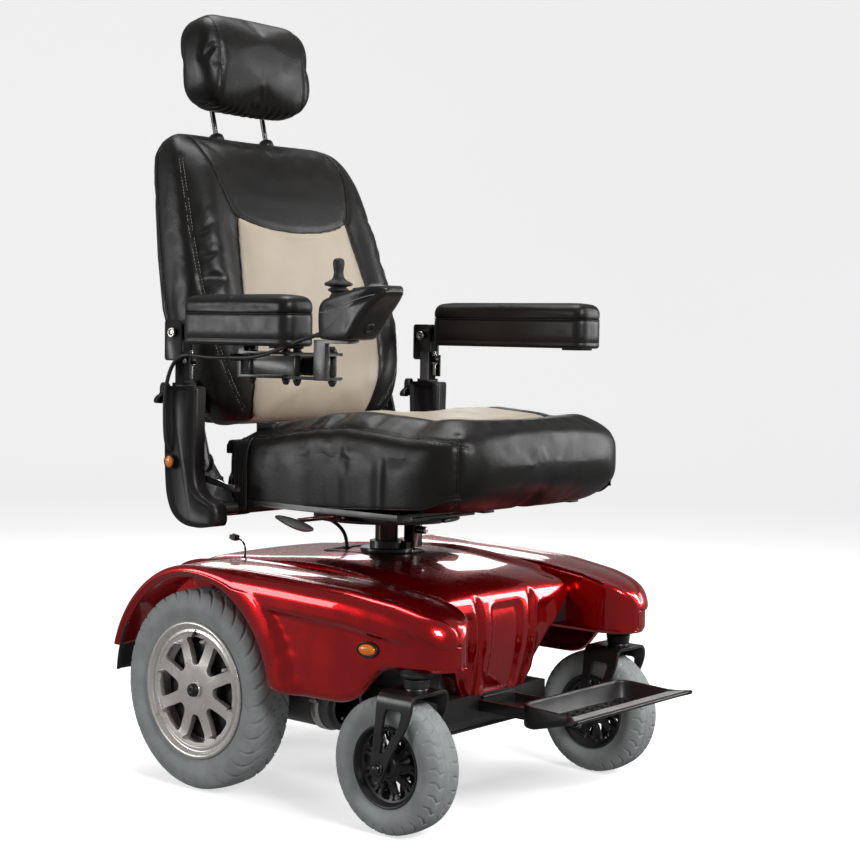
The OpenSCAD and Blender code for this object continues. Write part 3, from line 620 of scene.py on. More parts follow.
HARNESS_PATH = [(-4, 146, 411), (-5, 147, 424), (-9, 149, 437), (-17, 153, 449),
                (-29, 158, 459), (-44, 162, 466), (-56, 164, 471), (-60, 165, 474)]
LEAD_PATH = [(-186, 232, 388), (-186, 232, 398), (-186, 231, 406), (-186, 231, 413), (-186, 232, 419),
             (-186, 235, 424), (-186, 240, 428), (-186, 247, 431), (-186, 253, 432)]


def tube_piece(name, path, radius, material, sides=12):
    return build(name, *sweep(path, radius, sides), material)


def make_seat_harness():
    """Cable from the deck to the swivelling seat, and the grommet that it leaves the deck by."""
    path = smooth_path(HARNESS_PATH, 5)
    harness = tube_piece("harness_cable", path, 3.5, CABLE)
    put(harness, "post", "cable_black", "seat_harness")
    ring = [(4, 4.2), (7, 4.6), (8, 6), (7, 9.5), (4, 11), (0, 11.5), (0, 4.2)]
    standing = turned(lathe(ring, 32), Matrix.Rotation(math.radians(-90), 4, "Y"))
    grommet = build("harness_grommet", *standing, CABLE, origin=(-4, 146, 404))
    put(grommet, "chassis", "cable_black")


def make_service_lead():
    """Short twin lead with its connector, left standing out of the deck."""
    path = smooth_path(LEAD_PATH, 5)
    twin = []
    for side in (-1, 1):
        wire = [p + Vector((side * 1.05 * math.cos(i * 0.35), side * 1.05 * math.sin(i * 0.35), 0))
                for i, p in enumerate(path)]
        twin.append(sweep(wire, 1.0, 8))
    lead = build("lead_wires", *merged(*twin), CABLE)
    shell = merged(block((-6, 0, -5), (6, 10, 5)), block((-5, 10, -4), (5, 16, 4)),
                   block((-2.4, 2, 5), (2.4, 12, 6.4)), block((-3.4, -1, -3), (3.4, 0, 3)))
    plug = build("lead_connector", *shell, CONNECTOR, smooth=False, origin=LEAD_PATH[-1])
    plug.rotation_euler.x = math.radians(8)
    rounded(plug, 0.7, 2)
    put(lead, "chassis", "cable_black", "service_lead")
    put(plug, "chassis", "connector_brown")


make_seat_harness()
make_service_lead()


# ---------------------------------------------------------------- stage and light

def make_stage():
    """A pale floor that bends up into a wall all round, and a dim even sky for the object."""
    flat, bend = 5500, 2500
    profile = [(1, 0), (bend, 0), (flat, 0)]
    profile += [(flat + bend * math.sin(t * math.pi / 24), bend - bend * math.cos(t * math.pi / 24))
                for t in range(1, 13)]
    profile.append((flat + bend, 9000))
    turns = [2 * math.pi * k / 96 for k in range(96)]
    rings = [[Vector((r * math.cos(a), r * math.sin(a), z)) for a in turns] for r, z in profile]
    floor = build("floor", *loft(rings, caps=False), pale_floor())
    floor.visible_diffuse = False
    floor.visible_glossy = False
    floor.visible_shadow = False
    world = bpy.data.worlds.new("studio")
    world.use_nodes = True
    world.node_tree.nodes["Background"].inputs["Color"].default_value = (1, 1, 1, 1)
    world.node_tree.nodes["Background"].inputs["Strength"].default_value = 0.2
    bpy.context.scene.world = world
    bpy.context.scene.view_settings.view_transform = "Standard"


def pale_floor():
    look = Look("pale_floor", (0.8, 0.8, 0.8), 0.8, Emission_Strength=0.62, Emission_Color=(1, 1, 1, 1))
    look.colours(look.noise(3, 2), (0.8, 0.8, 0.8), (0.78, 0.78, 0.78))
    return look.material


def soft_light(name, place, target, size, power):
    data = bpy.data.lights.new(name, "AREA")
    data.shape = "RECTANGLE"
    data.size, data.size_y = size
    data.energy = power
    lamp = bpy.data.objects.new(name, data)
    bpy.context.collection.objects.link(lamp)
    lamp.location = place
    lamp.rotation_euler = (Vector(target) - Vector(place)).to_track_quat("-Z", "Y").to_euler()


make_stage()
soft_light("key", (-0.8, -3.7, 2.6), (0, 0, 0.6), (1.2, 1.0), 110)
soft_light("overhead", (0.4, 0.6, 3.2), (0, 0, 0.5), (1.6, 1.6), 45)
soft_light("strip_left", (2.8, -1.8, 1.5), (0, 0, 0.6), (0.6, 2.2), 50)
soft_light("rear_strip", (2.5, 2.6, 1.35), (0, 0, 0.5), (1.8, 0.5), 8)
soft_light("side_fill", (-3.2, 2.6, 1.2), (0, 0, 0.5), (1.4, 1.6), 48)


# ---------------------------------------------------------------- wheels

DRIVE_R, DRIVE_W, RIM_R = 178, 80, 118
CASTER_R, CASTER_W, CASTER_RIM_R = 114, 68, 66
TYRE_STEPS = 600


def tyre_section(radius, width, seat):
    """Half an oval tyre's outside, from the middle of the tread to the bead, as (x, radius)."""
    half, height = width / 2, radius - seat
    made = [(half * 0.62 * i / 8, radius - 1.5 * (i / 8) ** 2) for i in range(8)]
    for i in range(13):
        a = math.radians(90 - 90 * i / 12)
        made.append((half * 0.62 + half * 0.38 * math.cos(a),
                     radius - 1.5 - height * 0.45 * (1 - math.sin(a))))
    for i in range(1, 8):
        t = i / 7
        made.append((half * (1 - 0.2 * ease(t)), radius - 1.5 - height * 0.45 - (height * 0.55 - 1.5) * t))
    return made


def make_tyre(name, side, node, body, radius, width, seat, tread):
    """A tyre with its tread cut as real grooves; tread(x, angle) gives the depth at a place."""
    half = tyre_section(radius, width, seat)
    section = [(-x, r) for x, r in reversed(half[1:])] + half
    inner = [(section[-1][0] - 4, seat - 0.6), (section[0][0] + 4, seat - 0.6)]
    rings = []
    for i in range(TYRE_STEPS):
        a = 2 * math.pi * i / TYRE_STEPS
        ring = []
        for x, r in section:
            cut = tread(x, a) if r > seat + (radius - seat) * 0.45 else 0
            ring.append(Vector((x, (r - cut) * math.cos(a), (r - cut) * math.sin(a))))
        ring += [Vector((x, r * math.cos(a), r * math.sin(a))) for x, r in inner]
        rings.append(ring)
    part = mirrored(loft(rings + [rings[0]], caps=False), side)
    put(build(name, *part, TYRE, origin=middle(node)), body, "drive_tyre_rubber", node)


def notch(distance, half_width):
    """Depth, from 0 to 1, of a groove with sloping walls."""
    return ease((half_width - abs(distance)) / (half_width * 0.55))


def drive_tread(x, angle):
    pitches = 34
    pitch = 2 * math.pi / pitches
    across = (abs(x) - 9) / 28
    phase = angle / pitch + (0.5 if x < 0 else 0)
    depth = 0.0
    if across > 0:
        slant = phase - 1.15 * across
        depth = 3.4 * notch((slant - round(slant)) * pitch * DRIVE_R, 3.1) * ease(across * 6)
    for shift in (0.34, 0.66):
        spot = phase - shift
        away = math.hypot((spot - round(spot)) * pitch * DRIVE_R, abs(x) - 5.5)
        depth = max(depth, 2.4 * ease((2.9 - away) / 1.2))
    return depth


def caster_tread(x, angle):
    pitches = 30
    pitch = 2 * math.pi / pitches
    depth = 2.4 * notch(abs(x) - 10.5, 2.0)
    across = (abs(x) - 13) / 16
    if 0 < across < 1.25:
        zigzag = 0.3 * abs(((across * 2) % 2) - 1)
        phase = angle / pitch + zigzag + 0.35 * across + (0.5 if x < 0 else 0)
        depth = max(depth, 2.6 * notch((phase - round(phase)) * pitch * CASTER_R, 2.6))
    if abs(x) < 8:
        zigzag = 5.5 * (2 * abs(((angle / pitch) % 1) - 0.5) - 0.5)
        depth = max(depth, 1.8 * notch(x - zigzag, 1.9))
    return depth


def sector(start, end, inner, outer, window, steps=8, rings=4):
    """Part of a wheel's disc round one window, as rings from the window's edge to the sector's edge.

    Angles in degrees, window a closed (radius, angle) outline that starts at its inner left corner."""
    border = []
    for i in range(steps):
        border.append((inner, start + (end - start) * i / steps))
    for i in range(steps):
        border.append((inner + (outer - inner) * i / steps, end))
    for i in range(steps):
        border.append((outer, end + (start - end) * i / steps))
    for i in range(steps):
        border.append((outer + (inner - outer) * i / steps, start))
    flat = lambda r, a: (r * math.cos(math.radians(a)), r * math.sin(math.radians(a)))
    edge = [Vector(flat(r, a)) for r, a in border]
    hole = resampled([flat(r, a) for r, a in window], len(edge))
    made = []
    for i in range(rings + 1):
        t = (i / rings) ** 1.4
        made.append([h.lerp(e, t) for h, e in zip(hole, edge)])
    return made


def pane(centre, inner, outer, inner_half, outer_half, bend=0.25):
    """A window that widens outward, with round corners, as a (radius, angle) outline."""
    corners = []
    for r, half in ((inner, inner_half), (outer, -outer_half)):
        corners += [(r, centre + (k / 2 - 1) * half) for k in range(5)]
    flat = [(r * math.cos(math.radians(a)), r * math.sin(math.radians(a))) for r, a in corners]
    near, far = inner * inner_half * 0.0144, outer * bend * 0.34
    soft = round_outline([flat[0], flat[4], flat[5], flat[7], flat[9]], [near, near, far, 1, far], 5)
    return [(math.hypot(*p), math.degrees(math.atan2(p[1], p[0]))) for p in soft]


def wheel_face(name, sectors, dish, thickness, material, origin, side, edge=1.4):
    """A disc with windows: dish(radius) gives how far out the face stands."""
    points, faces = [], []
    for rings in sectors:
        ring3 = [[Vector((dish(p.length), p.x, p.y)) for p in ring] for ring in rings]
        points, faces = merged((points, faces), loft(ring3, caps=False))
    piece = build(name, *mirrored((points, faces), side), material, origin=origin)
    work = bmesh.new()
    work.from_mesh(piece.data)
    if sum(f.normal.x * side for f in work.faces) < 0:
        bmesh.ops.reverse_faces(work, faces=work.faces)
    work.to_mesh(piece.data)
    work.free()
    thickened(piece, thickness)
    rounded(piece, edge, 3, 40)
    return piece


def make_drive_wheel(word, side):
    body = "wheel_" + word
    centre = middle("drive_tyre_" + word)
    make_tyre("drive_tyre_" + word + "_rubber", side, "drive_tyre_" + word, body, DRIVE_R, DRIVE_W, RIM_R,
              drive_tread)
    sectors = []
    for i in range(8):
        mid = 45 * i
        sectors.append(sector(mid - 22.5, mid + 22.5, 13, 103, pane(mid, 45, 95, 9, 16.5)))

    def dish(r):
        return between(r, [(13, 30), (40, 30), (60, 27.5), (80, 26.5), (96, 29), (104, 30)])

    face = wheel_face("drive_rim_face_" + word, sectors, dish, 11, WHEEL_SILVER, centre, side, 1.6)
    put(face, body, "wheel_silver")
    barrel = [(30, 101), (31.5, 104), (29, 106), (29, 110), (32, 112), (36, 115), (37.5, 118.5),
              (36, 121.5), (33.5, 122), (32, 119), (27, 117.6), (-28, 117.6), (-33, 121.5), (-36, 121),
              (-36, 116), (-30, 113), (-12, 108), (20, 107), (24, 101)]
    put(build("drive_rim_barrel_" + word, *mirrored(lathe(barrel, 128), side), WHEEL_SILVER, origin=centre),
        body, "wheel_silver", "drive_rim_" + word)
    hub = [(-45, 6), (-45, 20), (-42, 24), (-30, 26), (-22, 34), (-18, 50), (-14, 53), (-8, 54), (0, 48),
           (14, 42), (18, 40), (18, 6)]
    put(build("drive_hub_" + word, *mirrored(lathe(hub, 64), side), TRIM, origin=centre), body, "hub_black")
    seat = rod((24, 0, 0), (33, 0, 0), 13, 48)
    put(build("drive_hub_seat_" + word, *mirrored(seat, side), WHEEL_SILVER, origin=centre), body,
        "wheel_silver")
    cap = [(30, 0.1), (41, 0.1), (41, 6), (39.5, 10.5), (36, 12), (30, 12.4)]
    put(build("drive_hub_cap_" + word, *mirrored(lathe(cap, 48), side), TRIM, origin=centre), body,
        "hub_black")
    drum = [(-34, 40), (-34, 88), (-30, 92), (6, 92), (9, 89), (9, 40)]
    put(build("drive_drum_" + word, *mirrored(lathe(drum, 72), side), TRIM, origin=centre), body,
        "hub_black")
    valve = merged(rod((22, 0, 112), (34, 0, 98), 2.6, 12), rod((30, 0, 102.5), (36, 0, 95.5), 3.3, 12))
    put(build("drive_valve_" + word, *mirrored(valve, side), CABLE, origin=centre), body, "hub_black")


def make_caster_wheel(word, side):
    body = "caster_wheel_" + word
    centre = middle("caster_tyre_" + word)
    make_tyre("caster_tyre_" + word + "_rubber", side, "caster_tyre_" + word, body, CASTER_R, CASTER_W,
              CASTER_RIM_R,
              caster_tread)
    for face_side in (LEFT, RIGHT):
        sectors = []
        for i in range(9):
            mid = 40 * i
            sectors.append(sector(mid - 14.5, mid + 14.5, 19, 61, pane(mid, 26, 57, 9, 11.5)))
            sectors.append(sector(mid + 14.5, mid + 25.5, 19, 61, pane(mid + 20, 44, 57, 1.2, 3.2, 0.06),
                                  steps=8))

        def dish(r):
            return between(r, [(19, 24), (34, 16), (48, 14), (61, 19)])

        label = word + ("_outer" if face_side == side else "_inner")
        face = wheel_face("caster_rim_face_" + label, sectors, dish, 6, CASTER_RIM, centre, face_side, 0.8)
        put(face, body, "caster_rim_black")
    barrel = [(19, 60), (22, 62), (27, 64), (30, 66.5), (29, 69), (26, 69.5), (24, 66.4), (-24, 66.4),
              (-26, 69.5), (-29, 69), (-30, 66.5), (-27, 64), (-22, 62), (-19, 60), (0, 58)]
    put(build("caster_rim_barrel_" + word, *lathe(barrel, 96), CASTER_RIM, origin=centre), body,
        "caster_rim_black", "caster_rim_" + word)
    hub = [(-29, 7), (-29, 15), (-26, 19), (-23, 21), (23, 21), (26, 19), (29, 15), (29, 7)]
    put(build("caster_hub_" + word, *lathe(hub, 48), CASTER_RIM, origin=centre), body, "caster_rim_black")


def make_tip_wheel(word):
    node = "tip_wheel_" + word
    tread = [(-13, 27), (-13, 40), (-11.5, 43.5), (-8, 45), (8, 45), (11.5, 43.5), (13, 40), (13, 27),
             (11, 25.5), (-11, 25.5)]
    put(build("tip_tyre_" + word, *lathe(tread, 72), SOLID_RUBBER, origin=middle(node)), "tip_" + word,
        "tip_rubber", node)
    core = [(-12, 5.1), (-12, 10), (-9, 13), (-5, 14), (-5, 22), (-10, 25.6), (10, 25.6), (5, 22), (5, 14),
            (9, 13), (12, 10), (12, 5.1)]
    put(build("tip_core_" + word, *lathe(core, 60), TRIM, origin=middle(node)), "tip_" + word, "tip_rubber")


for word, side in SIDES.items():
    make_drive_wheel(word, side)
    make_caster_wheel(word, side)
    make_tip_wheel(word)


# ---------------------------------------------------------------- casters

STEM_X, STEM_Y = 287, -275
CASTER_AXLE = (-234, 114)


def make_caster_fork(word, side):
    """A folded plate: a round-shouldered crown over the tyre and two legs that narrow to the axle."""
    body = "caster_swivel_" + word
    path = [(45, 92), (45, 114), (45, 140), (45, 166), (45, 192), (45, 214)]
    path += [(45 - 14 + 14 * math.cos(math.radians(a)), 225 + 14 * math.sin(math.radians(a)))
             for a in (15, 45, 75)]
    path += [(22, 239), (0, 239.5)]
    path = path + [(-x, z) for x, z in reversed(path[:-1])]
    rows = 9
    rings = []
    for x, z in path:
        t = ease((z - 100) / 122)
        front = CASTER_AXLE[0] - 15 + (STEM_Y - 30 - CASTER_AXLE[0] + 15) * t
        rear = CASTER_AXLE[0] + 15 + (STEM_Y + 44 - CASTER_AXLE[0] - 15) * t
        if z < 100:
            front, rear = CASTER_AXLE[0] - 8, CASTER_AXLE[0] + 8
        if abs(x) < 30:
            front -= 6 * (1 - abs(x) / 30)
        rings.append([Vector((STEM_X + x, front + (rear - front) * k / (rows - 1), z))
                      for k in range(rows)])
    points, faces = loft(rings, closed=False, caps=False)
    slots = set()
    for ring in (2, 3, 4, len(path) - 4, len(path) - 5, len(path) - 6):
        for k in ((3, 4) if ring in (2, len(path) - 4) else (2, 3, 4, 5)):
            slots.add(ring * (rows - 1) + k)
    faces = [f for i, f in enumerate(faces) if i not in slots]
    fork = build("caster_fork_" + word + "_plate", *mirrored((points, faces), side), FORK_PAINT)
    smoothed(fork, 1)
    thickened(fork, 6, 0)
    rounded(fork, 1.6, 3, 40)
    put(fork, body, "fork_black", "caster_fork_" + word)
    x, y = STEM_X, STEM_Y
    stem = merged(sweep([(x, y, 240), (x, y, 244), (x, y, 252), (x, y, 300), (x, y, 334), (x, y, 336)],
                        [19, 19, 12, 12, 12, 10], 32),
                  sweep([(x, y, 236), (x, y, 233.5), (x, y, 232)], [13, 13, 11], 6),
                  rod((x - 56, *CASTER_AXLE), (x + 56, *CASTER_AXLE), 5.8, 24),
                  hex_head((x + 48, *CASTER_AXLE), (1, 0, 0), 9.5, 7),
                  hex_head((x - 48, *CASTER_AXLE), (-1, 0, 0), 9.5, 7),
                  rod((x + 30, *CASTER_AXLE), (x + 42, *CASTER_AXLE), 9, 24),
                  rod((x - 42, *CASTER_AXLE), (x - 30, *CASTER_AXLE), 9, 24))
    put(build("caster_stem_" + word, *mirrored(stem, side), DARK_STEEL), body, "bolt_steel")
    heights = [245, 247, 249, 251, 253, 255, 257, 259, 261]
    radii = [18.5, 21, 19, 22, 19, 22.5, 19.5, 23, 21]
    boot = sweep([(x, y, z) for z in heights], radii, 40)
    put(build("caster_boot_" + word, *mirrored(boot, side), BOOT), body, "boot_rubber")
    collar = sweep([(x, y, z) for z in (263.4, 264.6, 269, 271, 273, 281, 283, 300, 318, 338, 341)],
                   [24.5, 26.4, 26.4, 25.6, 26.4, 26.4, 26.3, 26.3, 26.3, 26.3, 22], 48)
    put(build("caster_housing_" + word, *mirrored(collar, side), BOOT), "chassis", "boot_rubber")


for word, side in SIDES.items():
    make_caster_fork(word, side)


# ---------------------------------------------------------------- body panels

WHEEL_Y, WHEEL_Z, ARCH_R = 205, 178, 203
TOP_LINE = [(-340, 318), (-338.6, 331), (-335, 342), (-328, 351), (-312, 361), (-286, 370), (-250, 379),
            (-150, 392), (0, 398), (100, 400), (210, 400)]
LOW_LINE = [(-340, 276), (-232, 275), (-212, 258), (-186, 226), (-170, 214), (-145, 207), (-18, 206),
            (4, 208)]
POD_OUTER = [(-340, 262), (-339, 277), (-335, 291), (-328, 302), (-316, 312), (-296, 321), (-265, 327),
             (-200, 335), (-130, 341), (-60, 344), (20, 345)]
POD_INNER_X = 203


def pod_inner(y):
    t = min(1, max(0, (-278 - y) / 62))
    return POD_INNER_X + 54 * (1 - math.sqrt(1 - t * t))


def raised(y, z, top):
    """How far the side is set in at a place: not at all on the wheel's flare or on the upper shoulder."""
    from_arch = math.hypot(y - WHEEL_Y, z - WHEEL_Z) - ARCH_R - 44
    down, forward = top - z - 34, -262 - y
    corner = math.hypot(max(down, 0), max(forward, 0)) + min(max(down, forward), 0) - 16
    return ease(from_arch / 9) * ease(corner / 9)


def pod_section(inner_x, outer_x, top, low, well, inner_low):
    """A panel's points from its inner wall over the top and down its outer side; top and low are (y, z)."""
    (ty, tz), (ly, lz) = top, low
    drop = math.hypot(ty - ly, tz - lz)
    soft = min(30, (outer_x - inner_x) * 0.46, drop * 0.48)
    crest = min(6, (outer_x - inner_x) * 0.3)
    made = []
    for i in range(5):
        made.append(Vector((inner_x, ty, inner_low + (tz - crest - inner_low) * i / 5)))
    for i in range(5):
        a = math.radians(180 - 90 * i / 4)
        made.append(Vector((inner_x + crest + crest * math.cos(a), ty, tz - crest + crest * math.sin(a))))
    start, end = inner_x + crest, outer_x - soft
    for i in range(1, 12):
        t = i / 12
        x = start + (end - start) * t
        bead = -3.2 * ease((x - start) / 12) + 4.4 * math.sin(math.pi * t)
        made.append(Vector((x, ty, tz + bead * min(1, (outer_x - inner_x) / 80))))
    for i in range(9):
        a = math.radians(90 - 90 * i / 8)
        t = soft * (1 - math.sin(a)) / drop
        made.append(Vector((outer_x - soft + soft * math.cos(a), ty + (ly - ty) * t, tz + (lz - tz) * t)))
    begin = soft / drop
    rows = 34
    for i in range(1, rows + 1):
        t = begin + (1 - begin) * i / rows
        py, pz = ty + (ly - ty) * t, tz + (lz - tz) * t
        away = math.hypot(py - WHEEL_Y, pz - WHEEL_Z) - ARCH_R
        flare = 3.0 * math.sin(math.pi * min(1, max(0, away / 46))) if away < 46 else 0
        tuck = 7 * ease((8 - (1 - t) * drop) / 8)
        made.append(Vector((outer_x + flare - 9 * raised(py, pz, tz) - tuck, py, pz)))
    last = made[-1]
    for i in range(1, 4):
        made.append(Vector((last.x + (well - last.x) * i / 3, last.y, last.z + (2.5 if i == 1 else 3))))
    return made


def pod_stations():
    """Sections from the nose to the end of the mudguard, each as
    (inner x, outer x, top, low, wheel-well x, inner wall's foot)."""
    made = []
    ys = [-340, -339.2, -337.5, -334.5, -330, -324, -316, -307, -297, -286, -274, -262, -250, -238, -226,
          -214]
    ys += [-204, -194, -184, -174, -164, -152, -138, -122, -106, -90, -74, -58, -42, -28, -16, -6]
    for y in ys:
        outer = between(y, POD_OUTER)
        inner = min(pod_inner(y), outer - 1.0)
        low = between(y, LOW_LINE)
        made.append((inner, outer, (y, between(y, TOP_LINE)), (y, low), outer - 24, max(276, low)))
    for i in range(56):
        angle = 8.5 + (164 - 8.5) * i / 55
        a = math.radians(angle)
        low = (WHEEL_Y - ARCH_R * math.cos(a), WHEEL_Z + ARCH_R * math.sin(a))
        if angle < 90:
            y = 4 + (WHEEL_Y - 4) * ((angle - 8.5) / 81.5) ** 1.15
            top = (y, between(y, TOP_LINE))
        else:
            lip = between(angle, [(90, 19), (110, 17), (130, 14), (150, 12), (164, 11)])
            top = (WHEEL_Y - (ARCH_R + lip) * math.cos(a), WHEEL_Z + (ARCH_R + lip) * math.sin(a))
        inner = between(angle, [(100, POD_INNER_X), (128, 250)])
        well = between(angle, [(8.5, 321), (22, 256)])
        made.append((inner, 345, top, low, well, top[1] - between(angle, [(8.5, 100), (60, 14), (164, 6)])))
    return made


def make_side_shroud(word, side):
    rings = []
    for inner, outer, top, low, well, foot in pod_stations():
        rings.append(pod_section(inner, outer, top, low, well, foot))
    panel = build("side_shroud_" + word + "_shell", *mirrored(loft(rings, closed=False, caps=False), side),
                  RED)
    smoothed(panel, 1)
    thickened(panel, 3, 0)
    put(panel, "chassis", "body_red", "side_shroud_" + word)
    flap = []
    for i in range(15):
        angle = math.radians(150 + 27 * i / 14)
        ring = []
        for r, x in ((ARCH_R + 3, 256), (ARCH_R + 3, 300), (ARCH_R + 3.5, 336), (ARCH_R - 1, 341),
                     (ARCH_R - 4, 338),
                     (ARCH_R, 330), (ARCH_R, 300), (ARCH_R, 256)):
            ring.append(Vector((x, WHEEL_Y - r * math.cos(angle), WHEEL_Z + r * math.sin(angle))))
        flap.append(ring)
    put(build("mudflap_" + word, *mirrored(loft(flap), side), PLATE), "chassis", "trim_black")


HOOD_PROFILE = [(-212, 183), (-219, 205), (-227, 240), (-233, 275), (-235, 310), (-231, 342), (-220, 364),
                (-200, 379), (-160, 391), (-100, 399), (-40, 406), (30, 411), (90, 411), (150, 407),
                (230, 400), (310, 394), (352, 389), (384, 377), (402, 356), (410, 325), (409, 280),
                (408, 230), (408, 188)]


def hood_half(y, z):
    """Half of the hood's width: the nose narrows towards its foot."""
    if y < 0 and z < 345:
        return between(z, [(183, 82), (240, 112), (300, 152), (345, 199)])
    return 199


def flutes(x, z):
    """Depth of the nose's upright grooves and hollow panels."""
    def hollow(middle_x, half, top, depth):
        side, up = abs(x - middle_x) - half + 14, z - top + 14
        d = math.hypot(max(side, 0), max(up, 0)) + min(max(side, up), 0) - 14
        return depth * ease(-d / 9)

    groove = 11 * ease((9 - abs(abs(x) - 70 - (z - 260) * 0.06)) / 8) * ease((366 - z) / 26)
    return groove + hollow(0, 44, 350, 6) + max(hollow(-112, 26, 338, 6), hollow(112, 26, 338, 6))


def make_hood():
    rows = smooth_path([(0, y, z) for y, z in HOOD_PROFILE], 5)
    columns = 96
    rings = []
    for i, point in enumerate(rows):
        before, after = rows[max(i - 1, 0)], rows[min(i + 1, len(rows) - 1)]
        along = (after - before).normalized()
        out = Vector((0, -along.z, along.y))
        half = hood_half(point.y, point.z)
        nose = ease((-150 - point.y) / 40) if point.y < 0 else 0
        deck = ease((point.z - 360) / 30)
        ring = []
        for depth in (75, 50, 25):
            ring.append(Vector((-half * (1 - depth / 1500), point.y, point.z)) - out * depth)
        for k in range(columns + 1):
            u = -1 + 2 * k / columns
            x = half * math.sin(u * math.pi / 2 * 0.86) / math.sin(math.pi / 2 * 0.86)
            edge = ease((abs(x) - (half - 16)) / 16)
            sink = nose * flutes(x, point.z) + 12 * nose * edge
            valley = 9 * math.exp(-((abs(x) - 172) / 20) ** 2) * deck
            crown = deck * (3.5 * (1 - (x / 150) ** 2) if abs(x) < 150 else 0)
            ring.append(Vector((x, point.y, point.z)) + out * (crown - sink - valley - 4 * deck))
        for depth in (25, 50, 75):
            ring.append(Vector((half * (1 - depth / 1500), point.y, point.z)) - out * depth)
        rings.append(ring)
    points, faces = loft(rings, closed=False, caps=False)
    post = middle("post_socket")
    hole = 34

    def in_hole(p):
        return p.z > 380 and math.hypot(p.x - post.x, p.y - post.y) < hole

    faces = [f for f in faces if not all(in_hole(points[i]) for i in f)]
    for p in points:
        if in_hole(p):
            away = Vector((p.x - post.x, p.y - post.y, 0)).normalized() * hole
            p.x, p.y = post.x + away.x, post.y + away.y
    used = sorted({i for f in faces for i in f})
    index = {old: new for new, old in enumerate(used)}
    hood = build("hood_shell", [points[i] for i in used], [tuple(index[i] for i in f) for f in faces], RED)
    thickened(hood, 3, 0)
    put(hood, "chassis", "body_red", "deck_shroud")
    ring = round_outline([(-64, -6), (64, -6), (64, 168), (-64, 168)], [34, 34, 40, 40], 8)
    inner = round_outline([(-50, 10), (50, 10), (50, 152), (-50, 152)], [30, 30, 34, 34], 8)
    rim = lambda loop, lift: [Vector((x, y, between(y, [(-40, 403), (30, 408), (90, 408), (150, 404.5),
                                                        (230, 397)]) + lift))
                              for x, y in loop]
    recess = loft([rim(ring, 0), rim(ring, 4.5),
                   rim([(x * 0.95, 81 + (y - 81) * 0.96) for x, y in ring], 5.5),
                   rim(inner, 5), rim(inner, 1.5),
                   rim([(x * 0.6, 70 + (y - 70) * 0.6) for x, y in inner], 1.5)])
    put(build("post_surround", *recess, TRIM), "chassis", "trim_black")


def make_side_lamps():
    for word, side in SIDES.items():
        lens_rings, bezel_rings = [], []
        turns = [2 * math.pi * k / 40 for k in range(40)]
        for i in range(9):
            t = i / 8
            x, r = 1.5 + 6.5 * math.cos(t * math.pi / 2), math.sin(t * math.pi / 2)
            lens_rings.append([Vector((x, 16.5 * r * math.cos(a), 9.5 * r * math.sin(a))) for a in turns])
        bezel = [(-4, 20.5, 13), (1, 21, 13.5), (3.2, 20, 12.6), (3.4, 18, 10.8), (1.8, 16.6, 9.6),
                 (-1, 16, 9)]
        for x, ry, rz in bezel:
            bezel_rings.append([Vector((x, ry * math.cos(a), rz * math.sin(a))) for a in turns])
        tilt = Matrix.Rotation(math.radians(-9), 4, "Z")
        place = (side * 328.5, -205, 303)
        dome = loft(lens_rings[1:])
        put(build("side_lamp_lens_" + word, *mirrored(turned(dome, tilt), side), AMBER, origin=place),
            "chassis", "lamp_amber", *(["side_lamps"] if side == LEFT else []))
        surround = mirrored(turned(loft(bezel_rings), tilt), side)
        put(build("side_lamp_bezel_" + word, *surround, TRIM, origin=place), "chassis", "trim_black")


for word, side in SIDES.items():
    make_side_shroud(word, side)
make_hood()
make_side_lamps()


# ---------------------------------------------------------------- soft goods

RECLINE, HINGE = 14, (0, 260, 575)
LEAN = Matrix.Translation(Vector(HINGE)) @ Matrix.Rotation(math.radians(-RECLINE), 4, "X")
HEAD = Matrix.Translation(Vector((0, 436, 1328))) @ Matrix.Rotation(math.radians(-8), 4, "X")
BACK_FRONT = [(62, -8), (66, -24), (74, -37), (86, -47), (104, -55), (130, -62), (200, -70), (300, -73),
              (400, -67), (480, -59), (560, -45), (600, -31), (622, -14), (636, 8)]
BACK_REAR = [(62, 32), (80, 46), (110, 54), (300, 58), (560, 57), (600, 55), (622, 48), (636, 34)]
BACK_HALF = [(62, 208), (95, 244), (135, 259), (170, 268), (250, 282), (320, 282), (420, 272), (500, 260),
             (560, 249), (600, 237), (622, 222), (636, 198)]
SEAT_TOP = [(-336, 606), (-333, 622), (-327, 638), (-316, 650), (-298, 656), (-260, 657), (-210, 659),
            (-140, 664), (-60, 668), (0, 663), (60, 654), (130, 642), (190, 635), (208, 630), (214, 616)]
SEAT_LOW = [(-336, 596), (-333, 574), (-324, 556), (-308, 542), (-285, 530), (-245, 521), (-180, 516),
            (205, 516), (214, 524)]


def power(value, exponent):
    return math.copysign(abs(value) ** exponent, value)


def squircle(half_a, half_b, exponent, count=80):
    """A rounded rectangle as one smooth curve."""
    made = []
    for k in range(count):
        a = 2 * math.pi * k / count
        made.append((half_a * power(math.cos(a), exponent), half_b * power(math.sin(a), exponent)))
    return made


